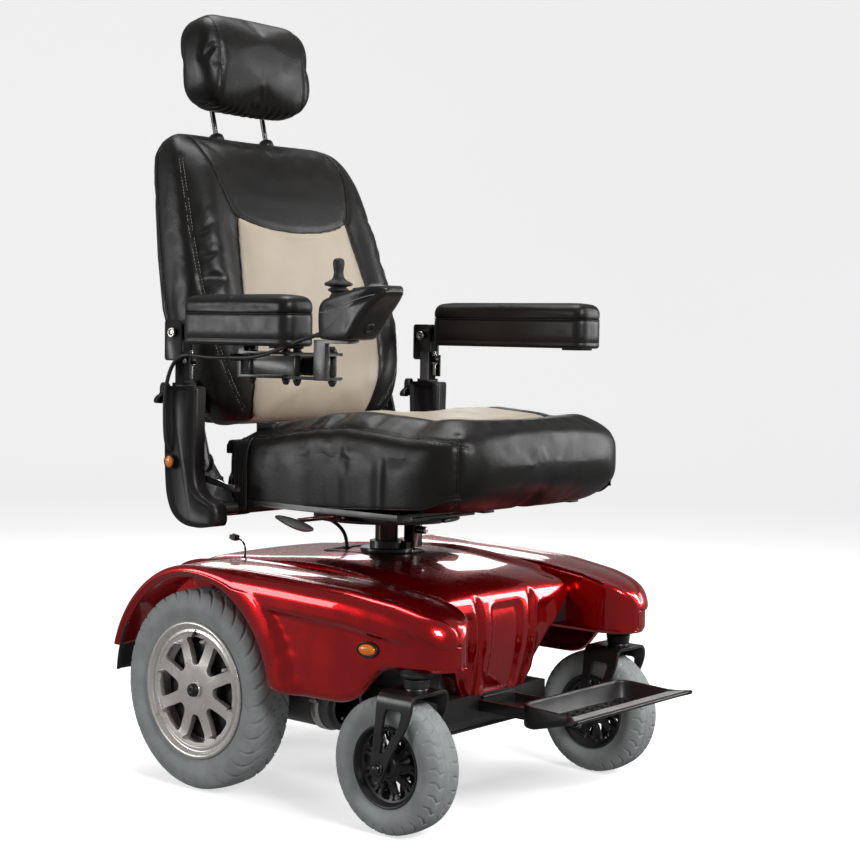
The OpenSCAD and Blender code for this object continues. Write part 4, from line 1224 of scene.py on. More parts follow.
def puff(piece, voxel, cap, pinned, frames=20, pressure=4.0):
    """Swells a cushion by cloth simulation under inside pressure.

    cap is how far a point may move and pinned(point) is 1 where it may not move, both in millimetres."""
    remesh = piece.modifiers.new("remesh", "REMESH")
    remesh.mode = "VOXEL"
    remesh.voxel_size = voxel * MM
    applied(piece)
    even = piece.modifiers.new("even", "SMOOTH")
    even.factor = 0.5
    even.iterations = 4
    applied(piece)
    start = [v.co.copy() for v in piece.data.vertices]
    cloth = piece.modifiers.new("cloth", "CLOTH")
    settings = cloth.settings
    settings.quality = 4
    settings.mass = 0.3
    settings.tension_stiffness = settings.compression_stiffness = 12
    settings.bending_stiffness = 2
    settings.use_pressure = True
    settings.uniform_pressure_force = pressure
    settings.effector_weights.gravity = 0
    cloth.point_cache.frame_start = 1
    cloth.point_cache.frame_end = frames
    for step in range(1, frames + 1):
        bpy.context.scene.frame_set(step)
    view = bpy.context.evaluated_depsgraph_get()
    swollen = [v.co.copy() for v in piece.evaluated_get(view).data.vertices]
    piece.modifiers.clear()
    for vertex, old, new in zip(piece.data.vertices, start, swollen):
        move = (new - old) * (1 - pinned(old / MM))
        if move.length > cap * MM:
            move = move.normalized() * cap * MM
        vertex.co = old + move
    bpy.context.scene.frame_set(1)
    settle = piece.modifiers.new("settle", "SMOOTH")
    settle.factor = 0.5
    settle.iterations = 3
    applied(piece)
    piece.data.shade_smooth()
    return piece


def surface(piece):
    """The piece's surface, for laying seams on: in millimetres."""
    points = [piece.matrix_world @ v.co / MM for v in piece.data.vertices]
    return BVHTree.FromPolygons(points, [p.vertices[:] for p in piece.data.polygons])


def laid(tree, guide, way):
    """Drops guide points onto a surface along a direction, and returns (place, normal) pairs."""
    made = []
    way = Vector(way).normalized()
    for point in guide:
        hit, normal, _, _ = tree.ray_cast(Vector(point) - way * 400, way)
        if hit is None:
            hit, normal, _, _ = tree.find_nearest(Vector(point))
        if normal.dot(way) > 0:
            normal = -normal
        made.append((hit, normal))
    return made


def nearest(tree, guide, centre):
    """The surface's nearest places to the guide points, with normals that point away from a centre."""
    made = []
    for point in guide:
        hit, normal, _, _ = tree.find_nearest(Vector(point))
        if normal.dot(hit - Vector(centre)) < 0:
            normal = -normal
        made.append((hit, normal))
    return made


def sewn(piece, seams, depth, width):
    """Pulls the cushion in along its seams."""
    places = [p for seam in seams for p, _ in seam]
    tree = BVHTree.FromPolygons([q for p in places
                                 for q in (p, p + Vector((0.01, 0, 0)), p + Vector((0, 0.01, 0.01)))],
                                [(3 * i, 3 * i + 1, 3 * i + 2) for i in range(len(places))])
    reach = width * 3
    for vertex, normal in zip(piece.data.vertices, [v.normal.copy() for v in piece.data.vertices]):
        _, _, _, away = tree.find_nearest(vertex.co / MM, reach)
        if away is not None:
            vertex.co -= normal * depth * MM * math.exp(-(away / width) ** 2)


def spaced(seam, pitch):
    """Even steps along a seam."""
    made, left = [seam[0]], pitch
    for (a, na), (b, nb) in zip(seam, seam[1:]):
        length = (b - a).length
        done = 0.0
        while length - done >= left:
            done += left
            t = done / length
            made.append((a.lerp(b, t), na.lerp(nb, t).normalized()))
            left = pitch
        left -= length - done
    return made


def piping(name, seam, radius, material, body, slot, lift=0.2):
    path = [p + n * radius * lift for p, n in spaced(seam, 4)]
    return put(build(name, *sweep(path, radius, 10), material), body, slot)


def stitches(name, seams, offsets, body, material, pitch=6.5, length=4.6, radius=0.5):
    """Rows of sewing thread beside a seam, each stitch a short rounded thread that dips at both ends."""
    parts = []
    for seam in seams:
        places = spaced(seam, pitch)
        for (a, na), (b, _) in zip(places, places[1:]):
            along = (b - a).normalized()
            beside = along.cross(na).normalized()
            for offset in offsets:
                base = a + beside * offset
                dip = [(-0.5, -0.4), (-0.3, 0.5), (0, 0.8), (0.3, 0.5), (0.5, -0.4)]
                thread_path = [base + along * length * t + na * radius * h for t, h in dip]
                parts.append(sweep(thread_path, radius, 5))
    return put(build(name, *merged(*parts), material), body, "stitch_white")


def panel(name, tree, columns, rows, place, way, material, body, slot, lift=3.0, soft=16.0,
          size=(300, 300)):
    """A sewn-in panel over a cushion that swells inside its border; place(u, v) gives a guide point."""
    grid = []
    for j in range(rows + 1):
        v = j / rows
        guide = [place(i / columns, v) for i in range(columns + 1)]
        row = []
        for i, (hit, normal) in enumerate(laid(tree, guide, way(v) if callable(way) else way)):
            u = i / columns
            edge = min(u, 1 - u) * size[0], min(v, 1 - v) * size[1]
            rise = lift * ease(min(edge) / soft) ** 0.7 - 1.2
            row.append(hit + normal * rise)
        grid.append(row)
    piece = build(name, *loft(grid, closed=False, caps=False), material)
    thickened(piece, 2.4, 0)
    return put(piece, body, slot)


def make_back():
    stations = [62, 66, 74, 86, 100, 120, 145, 175, 210, 250, 290, 330, 370, 410, 450, 490, 520, 548, 572,
                592, 608, 620, 629, 635, 638]
    rings = []
    for z in stations:
        front, rear, half = between(z, BACK_FRONT), between(z, BACK_REAR), between(z, BACK_HALF)
        middle_y, depth = (front + rear) / 2, (rear - front) / 2
        if z in (62, 638):
            half, depth = half - 14, depth * 0.55
        ring = []
        for x, y in squircle(half, depth, 0.4):
            inside = abs(x) / half
            if y < 0:
                bolster = 7 * math.exp(-((inside - 0.78) / 0.13) ** 2)
                hollow = 5 * math.exp(-((inside - 0.58) / 0.09) ** 2) * ease((470 - z) / 60)
                y -= (bolster - hollow) * ease((z - 80) / 80) * ease((620 - z) / 80)
            ring.append(LEAN @ Vector((x, middle_y + y, z)))
        rings.append(ring)
    cushion = build("back_cushion_cover", *loft(rings), BLACK_LEATHER)
    unlean = LEAN.inverted()

    def pinned(p):
        local = unlean @ p
        return 0.75 if local.y > 40 else 0.0

    puff(cushion, 6, 9, pinned)
    tree = surface(cushion)
    out = LEAN.to_3x3() @ Vector((0, 1, 0))
    on_back = lambda points, way=out: laid(tree, [LEAN @ Vector(p) for p in points], way)
    insert_half = lambda z: between(z, [(50, 150), (90, 160), (130, 168), (170, 174), (215, 176),
                                        (300, 171), (380, 158), (447, 146)])
    yoke = lambda x: 424 + 25 * (abs(x) / 146) ** 2.4
    seams, stitched = [], []
    for side in (LEFT, RIGHT):
        border = smooth_path([(side * insert_half(z), -80, z)
                              for z in (76, 100, 130, 170, 215, 260, 300, 340, 380, 415, 447)], 6)
        seams.append(on_back(border))
        pipe = smooth_path([(side * x, -80, z) for x, z in
                            ((146, 449), (157, 468), (168, 505), (176, 540), (180, 575),
                             (180, 605), (178, 624))], 6)
        seams.append(on_back(pipe))
        corner = LEAN.to_3x3() @ Vector((-side * 0.62, 0.78, 0))
        inset = lambda z: between(z, [(90, 58), (300, 44), (480, 24), (590, 9)])
        edge = smooth_path([(side * (between(z, BACK_HALF) - inset(z)), -38, z)
                            for z in range(90, 600, 30)], 4)
        stitched.append(on_back(edge, corner))
        rear = smooth_path([(side * (between(z, BACK_HALF) + 5), 30, z) for z in range(80, 620, 40)], 4)
        seams.append(on_back(rear, LEAN.to_3x3() @ Vector((-side, 0, 0))))
    seams.append(on_back(smooth_path([(x, -80, yoke(x)) for x in range(-146, 147, 14)], 4)))
    sewn(cushion, seams, 3.2, 5)
    sewn(cushion, stitched, 2.0, 4)
    smoothed(cushion, 1)
    put(cushion, "back", "leather_black", "back_cushion")
    tree = surface(cushion)

    def place(u, v):
        x = -1 + 2 * u
        under = [(0, -4, 30), (0.04, -34, 34), (0.08, -60, 44), (0.12, -78, 62), (0.18, -80, 96)]
        y = between(v, [(t, y) for t, y, _ in under])
        z = between(v, [(t, z) for t, _, z in under])
        if v > 0.18:
            z += (yoke(x * 146) - 96) * (v - 0.18) / 0.82
        return LEAN @ Vector((x * insert_half(z), y, z))

    def facing(v):
        a = math.radians(between(v, [(0, 88), (0.04, 66), (0.08, 42), (0.12, 20), (0.18, 0)]))
        return LEAN.to_3x3() @ Vector((0, math.cos(a), math.sin(a)))

    insert = panel("back_insert", tree, 44, 72, place, facing, BEIGE_LEATHER, "back", "leather_beige", 4.5,
                   20, (320, 380))
    for number, seam in enumerate(seams):
        again = nearest(tree, [p for p, _ in seam], LEAN @ Vector((0, 0, 330)))
        piping("back_piping_%d" % number, again, 1.7, PIPING, "back", "leather_black", 0.3)
    again = [nearest(tree, [p for p, _ in seam], LEAN @ Vector((0, 0, 330))) for seam in stitched]
    stitches("back_stitching", again, (-3.2, 3.2), "back", STITCH)
    for number, seam in enumerate(again):
        piping("back_edge_seam_%d" % number, seam, 0.9, PIPING, "back", "leather_black", 0.0)
    carrier = merged(*[sweep([LEAN @ Vector((x, 34, z)) for z in (628, 636, 643, 646)], [15, 15, 13, 9], 28)
                       for x in (-67, 67)])
    put(build("headrest_bushes", *carrier, COVER), "back", "cover_black")
    shell_rings = []
    for z in (78, 82, 90, 110, 200, 300, 400, 500, 580, 600, 608, 612):
        half = between(z, BACK_HALF) - (46 if z in (78, 612) else 32)
        lift = 0 if z in (78, 612) else 8
        shell_rings.append([LEAN @ Vector((x, between(z, BACK_REAR) - 14 + (y + 1) * 0.5 * (14 + lift), z))
                            for x, y in squircle(half, 1, 0.3, 56)])
    put(build("back_rear_shell", *loft(shell_rings), COVER), "back", "cover_black")


def make_headrest():
    rings = []
    xs = [0, 20, 45, 70, 90, 104, 114, 123, 130, 135.5, 139.5, 141.6]
    for x in [-v for v in reversed(xs[1:])] + xs:
        tall = 92 if abs(x) < 88 else 92 - (54 - math.sqrt(max(0, 54 ** 2 - (abs(x) - 88) ** 2)))
        deep = 48 if abs(x) < 118 else 48 - (24 - math.sqrt(max(0, 24 ** 2 - (abs(x) - 118) ** 2)))
        ring = []
        for y, z in squircle(deep, tall, 0.5, 64):
            y += 7 * (z / 92) ** 2 if y < 0 else -2 * (z / 92)
            ring.append(HEAD @ Vector((x, y, z)))
        rings.append(ring)
    cushion = build("headrest_cover", *loft(rings), BLACK_LEATHER)
    puff(cushion, 4.5, 7, lambda p: 0.0)
    tree = surface(cushion)
    seams = []
    for side in (LEFT, RIGHT):
        ring = []
        for k in range(73):
            a = 2 * math.pi * k / 72
            ring.append(HEAD @ Vector((side * 112, 60 * math.cos(a), 110 * math.sin(a))))
        centre = HEAD @ Vector((side * 112, 0, 0))
        loop = []
        for point in ring:
            hit, normal, _, _ = tree.ray_cast(Vector(point), (centre - Vector(point)).normalized())
            if hit is not None:
                loop.append((hit, normal if normal.dot(hit - centre) > 0 else -normal))
        seams.append(loop)
    sewn(cushion, seams, 2.6, 4)
    for vertex in cushion.data.vertices:
        local = HEAD.inverted() @ (vertex.co / MM)
        if local.z < -62:
            crease = math.sin(local.x * 0.34 + 1.7 * math.sin(local.y * 0.09)) * math.cos(local.y * 0.05)
            vertex.co += vertex.normal * crease * 1.6 * MM * ease((-62 - local.z) / 18)
    smoothed(cushion, 1)
    put(cushion, "headrest", "leather_black", "headrest_cushion")
    tree = surface(cushion)
    again = [nearest(tree, [p for p, _ in seam], HEAD @ Vector((0, 0, 0))) for seam in seams]
    for number, seam in enumerate(again):
        piping("headrest_seam_%d" % number, seam, 1.1, PIPING, "headrest", "leather_black", 0.0)
    posts = merged(*[rod(LEAN @ Vector((x, 34, 505)), LEAN @ Vector((x, 34, 700)), 5, 28)
                     for x in (-67, 67)])
    put(build("headrest_rods", *posts, CHROME), "headrest", "chrome", "headrest_posts")


def seat_half(y):
    if y < -241:
        return 258 - (95 - math.sqrt(max(0, 95 ** 2 - (-241 - y) ** 2)))
    if y > 195:
        return 258 - (20 - math.sqrt(max(0, 20 ** 2 - (y - 195) ** 2)))
    return 258


def make_skirt(word, side, tree):
    """The cover's loose side below the cushion, with the pleated piece at its rear end."""
    foot = lambda y: between(y, [(-300, 538), (-270, 530), (-132, 521), (0, 512), (70, 507), (130, 502),
                                 (158, 491), (211, 483)])
    inward = Vector((-side, 0, 0))

    def side_x(y, z):
        hit, _ = laid(tree, [(side * 330, y, z)], inward)[0]
        return abs(hit.x)

    rings, gusset = [], []
    for y in range(-300, 213, 6):
        fade = ease((y + 300) / 56)
        wave = 0.9 * math.sin(y / 31) + 0.5 * math.sin(y / 13)
        widest = max(side_x(y, z) for z in range(560, 621, 12))
        low = 546 + (foot(y) - 546) * fade
        ring = [Vector((side * (side_x(y, z) - 1.6 + lift), y, z))
                for z, lift in ((618, 0), (604, 1.0), (590, 1.9 * fade))]
        for t in (0.15, 0.3, 0.45, 0.6, 0.75, 0.88, 1.0):
            x = side_x(y, 590) + (widest - side_x(y, 590)) * ease(t * 3)
            x += -1.6 + 2.2 * fade + (wave - 1.0) * fade * t * t - (1 - fade) * 9 * t
            ring.append(Vector((side * x, y, 590 + (low - 590) * t)))
        rings.append(ring)
    skirt = build("seat_skirt_" + word, *loft(rings, closed=False, caps=False), BLACK_LEATHER)
    thickened(skirt, 1.6, 0)
    smoothed(skirt, 1)
    put(skirt, "seat", "leather_black")
    hem = sweep([ring[-1] for ring in rings], 1.9, 8)
    put(build("seat_hem_" + word, *hem, PIPING), "seat", "leather_black")
    for i in range(61):
        y = 157 + 55 * i / 60
        t = i / 60
        swell = 1.4 + 3.0 * abs(math.sin(math.pi * 5 * t)) ** 0.8
        column = []
        for k in range(20):
            z = foot(y) + 3 + (between(y, SEAT_TOP) - 16 - foot(y)) * k / 19
            end = ease(min(k, 19 - k) / 1.2)
            column.append(Vector((side * (side_x(y, max(z, 566)) + 0.2 + swell * end), y, z)))
        gusset.append(column)
    pleats = build("seat_pleats_" + word, *loft(gusset, closed=False, caps=False), BLACK_LEATHER)
    thickened(pleats, 2.2, 0)
    put(pleats, "seat", "leather_black")


def make_seat():
    ys = [-336, -335, -332, -327, -320, -311, -300, -286, -270, -252, -234, -210, -180, -150, -120, -90,
          -60, -30, 0, 30, 60, 90, 120, 145, 165, 180, 192, 202, 209, 213, 214]
    rings = []
    for y in ys:
        top, low, half = between(y, SEAT_TOP), between(y, SEAT_LOW), seat_half(y)
        if y in (-336, 214):
            half -= 10
        ring = []
        for x, z in squircle(half, (top - low) / 2, 0.38, 96):
            inner = ease((y + 325) / 60) * ease((205 - y) / 60)
            if z > 0:
                bolster = 6 * math.exp(-((abs(x) - 196) / 34) ** 2)
                dish = 9 * (1 - (x / 160) ** 2) if abs(x) < 160 else 0
                roll = 13 * (1 - (x / 240) ** 2) * ease((-205 - y) / 50) * ease((y + 337) / 20)
                z += ((bolster - dish) * inner + roll) * ease((z - 20) / 20)
            ring.append(Vector((x, y, (top + low) / 2 + z)))
        rings.append(ring)
    cushion = build("seat_cushion_cover", *loft(rings), BLACK_LEATHER)
    puff(cushion, 6, 9, lambda p: ease((530 - p.z) / 12) if p.z < 530 else 0.0)
    tree = surface(cushion)
    down = Vector((0, 0, -1))
    seams, stitched = [], []
    for side in (LEFT, RIGHT):
        slant = Vector((-side * 0.8, 0, -0.6))
        edge = [(side * 244, y, between(y, SEAT_TOP) - 6) for y in range(150, -260, -20)]
        edge += [(side * 238, -272, 645), (side * 222, -296, 638), (side * 204, -311, 631)]
        stitched.append(laid(tree, smooth_path(edge, 4), slant))
        corner = [(side * 222, -300, z) for z in range(520, 652, 10)]
        seams.append(laid(tree, corner, Vector((-side * 0.72, 0.69, 0))))
        insert = [(side * (150 + 6 * math.sin(math.pi * k / 20)), -196 + 386 * k / 20, 700)
                  for k in range(21)]
        seams.append(laid(tree, insert, down))
    front_edge = [(x, -196 - 5 * (1 - (x / 150) ** 2), 700) for x in range(-150, 151, 15)]
    seams.append(laid(tree, front_edge, down))
    rear_edge = [(x, 190, 700) for x in range(-150, 151, 15)]
    seams.append(laid(tree, rear_edge, down))
    sewn(cushion, seams, 3.0, 5)
    sewn(cushion, stitched, 2.0, 4)
    smoothed(cushion, 1)
    put(cushion, "seat", "leather_black", "seat_cushion")
    tree = surface(cushion)

    def place(u, v):
        y = -200 + 389 * v
        half = 150 + 6 * math.sin(math.pi * min(1, max(0, (y + 196) / 386)))
        x = (-1 + 2 * u) * half
        return Vector((x, y - 5 * (1 - (x / 150) ** 2) * (1 - v), 700))

    insert = panel("seat_insert", tree, 40, 50, place, down, BEIGE_LEATHER, "seat", "leather_beige", 6, 24,
                   (300, 386))
    centre = Vector((0, -60, 590))
    for number, seam in enumerate(seams):
        again = nearest(tree, [p for p, _ in seam], centre)
        piping("seat_piping_%d" % number, again, 1.6, PIPING, "seat", "leather_black", 0.25)
    again = [nearest(tree, [p for p, _ in seam], centre) for seam in stitched]
    stitches("seat_stitching", again, (-3.4, 3.4), "seat", DARK_STITCH)
    for number, seam in enumerate(again):
        piping("seat_edge_seam_%d" % number, seam, 0.9, PIPING, "seat", "leather_black", 0.0)
    for word, side in SIDES.items():
        make_skirt(word, side, tree)
    strap_block = rounded_box((-216, 132, 632), (-186, 176, 650), 3.5, "Z", 5)
    put(build("seat_strap_block", *strap_block, TRIM), "seat", "trim_black")


make_back()
make_headrest()
make_seat()


# ---------------------------------------------------------------- arms

ARM_X, ARM_REAR = 335, 205
PIVOT, KNOB_Z, COLUMN_MID = (247, 809), 697, 331
PAD_LENGTH = {"left": 374, "right": 260}


def make_arm(word, side):
    body = "arm_" + word
    front = ARM_REAR - PAD_LENGTH[word]
    plan = round_outline([(ARM_X - 37.5, front), (ARM_X + 37.5, front), (ARM_X + 37.5, ARM_REAR),
                          (ARM_X - 37.5, ARM_REAR)], 25, 8)
    steps = [(0, 844), (-0.8, 847), (-1.2, 853), (-0.4, 859), (1.8, 864.5), (5.4, 869), (10.4, 871.8),
             (16.5, 873), (24, 873.4)]
    rings = [[Vector((p.x, p.y, z)) for p in offset_loop(plan, inset)] for inset, z in steps]
    pad = build("arm_pad_%s_cover" % word, *mirrored(loft(rings), side), BLACK_LEATHER)
    puff(pad, 4, 3.0, lambda p: 1.0 if p.z < 848 else 0.0, frames=12)
    smoothed(pad, 1)
    put(pad, body, "leather_black", "arm_pad_" + word)
    steps = [(9, 789.5), (4, 790), (1, 792), (0, 795), (0, 799), (1.1, 800.2), (0, 801.4), (0, 815),
             (0, 836), (0.4, 841), (2.0, 843.2)]
    rings = [[Vector((p.x, p.y, z)) for p in offset_loop(plan, inset)] for inset, z in steps]
    tongue = round_outline([(180, 797), (236, 797), (PIVOT[0] + 12, 801), (PIVOT[0] + 13, 816), (236, 825),
                            (180, 825)], 9, 5)
    blind = rounded_box((ARM_X - 22, front + 14, 786), (ARM_X + 22, front + 58, 792), 2, "Z", 6)
    shell = merged(loft(rings), cushioned(tongue, ARM_X - 5.6, ARM_X + 5.6, 1.2, "X", 3), blind)
    put(build("arm_shell_%s_body" % word, *mirrored(shell, side), ARM_COVER), body, "cover_black",
        "arm_shell_" + word)
    seam = [(p.x, p.y, 843.6) for p in offset_loop(plan, 0.6)]
    line = sweep(seam + seam[:2], 1.1, 8)
    put(build("arm_seam_" + word, *mirrored(line, side), PIPING), body, "leather_black")


def make_arm_post(word, side):
    body = "arm_tube_" + word
    tube = rounded_box((COLUMN_MID - 12, 226, 545), (COLUMN_MID + 12, 250, 776), 2.2, "Z")
    cheeks = [cushioned(round_outline([(226, 760), (268, 760), (268, 832), (226, 832)], 7, 5),
                        ARM_X + s * 12 - 4, ARM_X + s * 12 + 4, 1.2, "X", 3) for s in (-1, 1)]
    web = rounded_box((ARM_X - 9, 228, 760), (ARM_X + 9, 264, 772), 1.5, "Z")
    lug = rounded_box((COLUMN_MID - 5.5, 213, 754), (COLUMN_MID + 5.5, 230, 768), 1.6, "Z")
    strip = rounded_box((COLUMN_MID + 7, 214, 726), (COLUMN_MID + 12.2, 230, 770), 1.2, "X")
    post = build("arm_post_%s_body" % word, *mirrored(merged(tube, *cheeks, web, lug, strip), side),
                 FRAME_PAINT)
    put(post, body, "frame_paint", "arm_post_" + word)
    bolt = merged(rod((ARM_X - 20, *PIVOT), (ARM_X + 20, *PIVOT), 4.9, 24),
                  cap_bolt((ARM_X + 16, *PIVOT), (1, 0, 0), 9, 5),
                  cap_bolt((ARM_X - 16, *PIVOT), (-1, 0, 0), 9, 5),
                  cap_bolt((COLUMN_MID + 12.2, 222, 760), (1, 0, 0), 4.5, 2.5),
                  rod((COLUMN_MID, 221, 728), (COLUMN_MID, 221, 778), 3.8, 20),
                  hex_head((COLUMN_MID, 221, 768), (0, 0, 1), 6, 5),
                  hex_head((COLUMN_MID, 221, 754), (0, 0, -1), 6, 5))
    put(build("arm_bolts_" + word, *mirrored(bolt, side), STEEL), body, "bolt_steel")


COLUMN_SIDE = [(205, 715), (269, 715), (266, 630), (264, 560), (260, 522), (248, 494), (228, 478),
               (204, 471), (172, 470), (152, 473), (147, 482), (148, 500), (153, 510), (170, 516),
               (190, 524), (202, 540), (207, 566), (207, 620)]


def make_column(word, side):
    side_view = round_outline(COLUMN_SIDE, [7, 7] + [14] * 7 + [9, 9] + [9, 14, 14, 14, 14, 14, 14], 4)
    column = cushioned(side_view, 310, 352, 8, "X", 6)
    sleeve = cushioned(round_outline([(315, 222), (347, 222), (347, 254), (315, 254)], 4, 3), 712, 721, 1.6,
                       "Z", 3)
    put(build("arm_column_%s_cover" % word, *mirrored(merged(column, sleeve), side), COVER), "seat",
        "cover_black", "arm_column_" + word)
    ring, dome = [], []
    spin = [2 * math.pi * k / 36 for k in range(36)]
    for x, r in ((351, 12.5), (353.5, 12.8), (354.6, 12), (354.6, 10.6), (353, 10)):
        ring.append([Vector((x, 252 + r * math.cos(a), 582 + r * math.sin(a))) for a in spin])
    for i in range(1, 9):
        t = math.radians(90 * i / 8)
        dome.append([Vector((353 + 4.4 * math.cos(t), 252 + 10.4 * math.sin(t) * math.cos(a),
                             582 + 10.4 * math.sin(t) * math.sin(a))) for a in spin])
    put(build("column_lamp_rim_" + word, *mirrored(loft(ring), side), TRIM), "seat", "trim_black")
    put(build("column_lamp_lens_" + word, *mirrored(loft(dome), side), AMBER), "seat", "lamp_amber",
        *(["column_lamps"] if side == LEFT else []))


def make_knob(word, side):
    outline = []
    for k in range(72):
        a = 2 * math.pi * k / 72
        r = 14.6 + 7.4 * math.cos(3 * (a - math.pi / 2)) + 1.2 * math.cos(6 * (a - math.pi / 2))
        outline.append((COLUMN_MID + r * math.cos(a), KNOB_Z + r * math.sin(a)))
    knob = merged(cushioned(outline, 282, 296, 4, "Y", 5),
                  rod((COLUMN_MID, 268, KNOB_Z), (COLUMN_MID, 284, KNOB_Z), 9, 24))
    put(build("arm_knob_%s_grip" % word, *mirrored(knob, side), TRIM), "knob_" + word, "trim_black",
        "arm_knob_" + word)
    screw = rod((COLUMN_MID, 252, KNOB_Z), (COLUMN_MID, 270, KNOB_Z), 4.9, 24)
    put(build("arm_knob_screw_" + word, *mirrored(screw, side), STEEL), "knob_" + word, "bolt_steel")


for word, side in SIDES.items():
    make_arm(word, side)
    make_arm_post(word, side)
    make_column(word, side)
    make_knob(word, side)


# ---------------------------------------------------------------- swing-away joystick

PINS = {"a": (-322, 76), "b": (-300, 16), "c": (-322, -32), "d": (-300, -92)}
STICK = (-330, -132, 852)
KEYS = Matrix.Translation(Vector((-330, -205, 885))) @ Matrix.Rotation(math.radians(-5), 4, "X")


def dome_nut(x, y, z, way):
    """A cap nut on a pin's end."""
    rings = []
    for height, r, sides in ((0, 7.4, True), (5, 7.4, True), (5.4, 5.6, False), (8, 5.2, False),
                             (9.8, 3.8, False), (10.6, 1.6, False)):
        ring = []
        for k in range(24):
            a = 2 * math.pi * k / 24
            flat = math.cos(math.pi / 6) / math.cos((a % (math.pi / 3)) - math.pi / 6) if sides else 1
            ring.append(Vector((x + r * flat * math.cos(a), y + r * flat * math.sin(a), z + way * height)))
        rings.append(ring)
    return loft(rings)


def make_swing_mount():
    for name, node, body in (("swing_bracket_plate", "swing_bracket", "arm_right"),
                             ("swing_mount_plate", "joystick_mount", "stick_body")):
        put(softened(name, node, LINK_PAINT, 1.3, 3), body, "swing_black", node)
    for name, body, first, second in (("rear", "link_rear", "a", "c"), ("front", "link_front", "b", "d")):
        node = "swing_link_" + name
        put(softened(node + "_bar", node, LINK_PAINT, 0.9, 2), body, "link_black", node)
        nuts = []
        for pin in (first, second):
            x, y = PINS[pin]
            nuts += [dome_nut(x, y, 780.6, 1), dome_nut(x, y, 734.4, -1)]
            nuts.append(cushioned(arc((x, y), 9.2, 0, 345, 23), 779.8, 781.2, 0.4, "Z", 2))
        put(build("swing_nuts_" + name, *merged(*nuts), DARK_STEEL), body, "bolt_steel")
    clip = cushioned(round_outline([(-351, 88), (-333, 88), (-333, 102), (-351, 102)], 3, 3), 763, 775, 1,
                     "Z", 3)
    put(build("cable_clip", *clip, TRIM), "arm_right", "trim_black")


HOUSING_SIDE = [(-109, 818), (-113, 803), (-150, 801), (-186, 803), (-201, 821), (-219, 845), (-238, 863),
                (-254, 876), (-257, 884), (-249, 890), (-228, 890), (-190, 883), (-150, 875), (-122, 867),
                (-110, 857), (-107, 838)]
HOUSING_HALF = [(-258, 14), (-254, 23), (-245, 32), (-228, 38), (-200, 40), (-160, 36), (-130, 32),
                (-116, 29), (-106, 24)]


def make_joystick_housing():
    outline = round_outline(HOUSING_SIDE, [6, 6, 12, 7, 12, 12, 5, 4, 5, 9, 12, 14, 14, 12, 7, 9], 4)
    rings = []
    for i in range(25):
        t = -1 + 2 * i / 24
        inset = 9 * (1 - math.sqrt(max(0, 1 - max(0, (abs(t) - 0.72) / 0.28) ** 2)))
        ring = []
        for p in offset_loop(outline, inset):
            ring.append(Vector((STICK[0] + t * between(p.x, HOUSING_HALF), p.x, p.y)))
        rings.append(ring)
    case = build("joystick_case", *loft(rings), CONTROL)
    smoothed(case, 1)
    bored(case, rod((STICK[0], STICK[1], 848), (STICK[0], STICK[1], 900), 21.5, 48))
    put(case, "stick_body", "control_black", "joystick_housing")
    tree = surface(case)
    line = [(STICK[0] + s * 60, y, 846 + 30 * ease((-118 - y) / 136)) for s, ys in
            ((-1, range(-116, -246, -10)), (1, range(-246, -115, 10))) for y in ys]
    near = laid(tree, line[:13], (1, 0, 0))
    nose = [tree.find_nearest(Vector((STICK[0] + x, -270, 876)))[0:2] for x in (-24, -12, 0, 12, 24)]
    far = laid(tree, line[13:], (-1, 0, 0))
    seam = smooth_path([p for p, _ in near + nose + far], 4)
    put(build("joystick_case_seam", *sweep(seam, 0.8, 8), GRIP), "stick_body", "grip_grey")
    out = Vector((0, -0.829, -0.559))
    spot, _, _, _ = tree.ray_cast(Vector((-330, -204, 819)) + out * 60, -out)
    turn = Vector((1, 0, 0)).rotation_difference(out).to_matrix().to_4x4()
    turn.translation = spot
    cup = turned(lathe([(-3, 5), (1.2, 5), (2, 6.4), (2, 9), (0.6, 10.4), (-3, 10.4)], 36), turn)
    bottom = turned(rod((-2.6, 0, 0), (-1.4, 0, 0), 5.4, 24), turn)
    put(build("charging_socket", *merged(cup, bottom), TRIM), "stick_body", "trim_black")
    contacts = []
    for a in (1.57, 3.67, 5.76):
        y, z = 3 * math.cos(a), 3 * math.sin(a)
        contacts.append(turned(rod((-2, y, z), (1, y, z), 0.8, 10), turn))
    put(build("charging_contacts", *merged(*contacts), GOLD), "stick_body", "gold_trim")
    plate = turned(cushioned(squircle(31, 20, 0.5, 48), -0.6, 1.2, 0.7, "Z", 3), KEYS)
    put(build("key_panel_overlay", *plate, PLATE), "stick_body", "control_black")


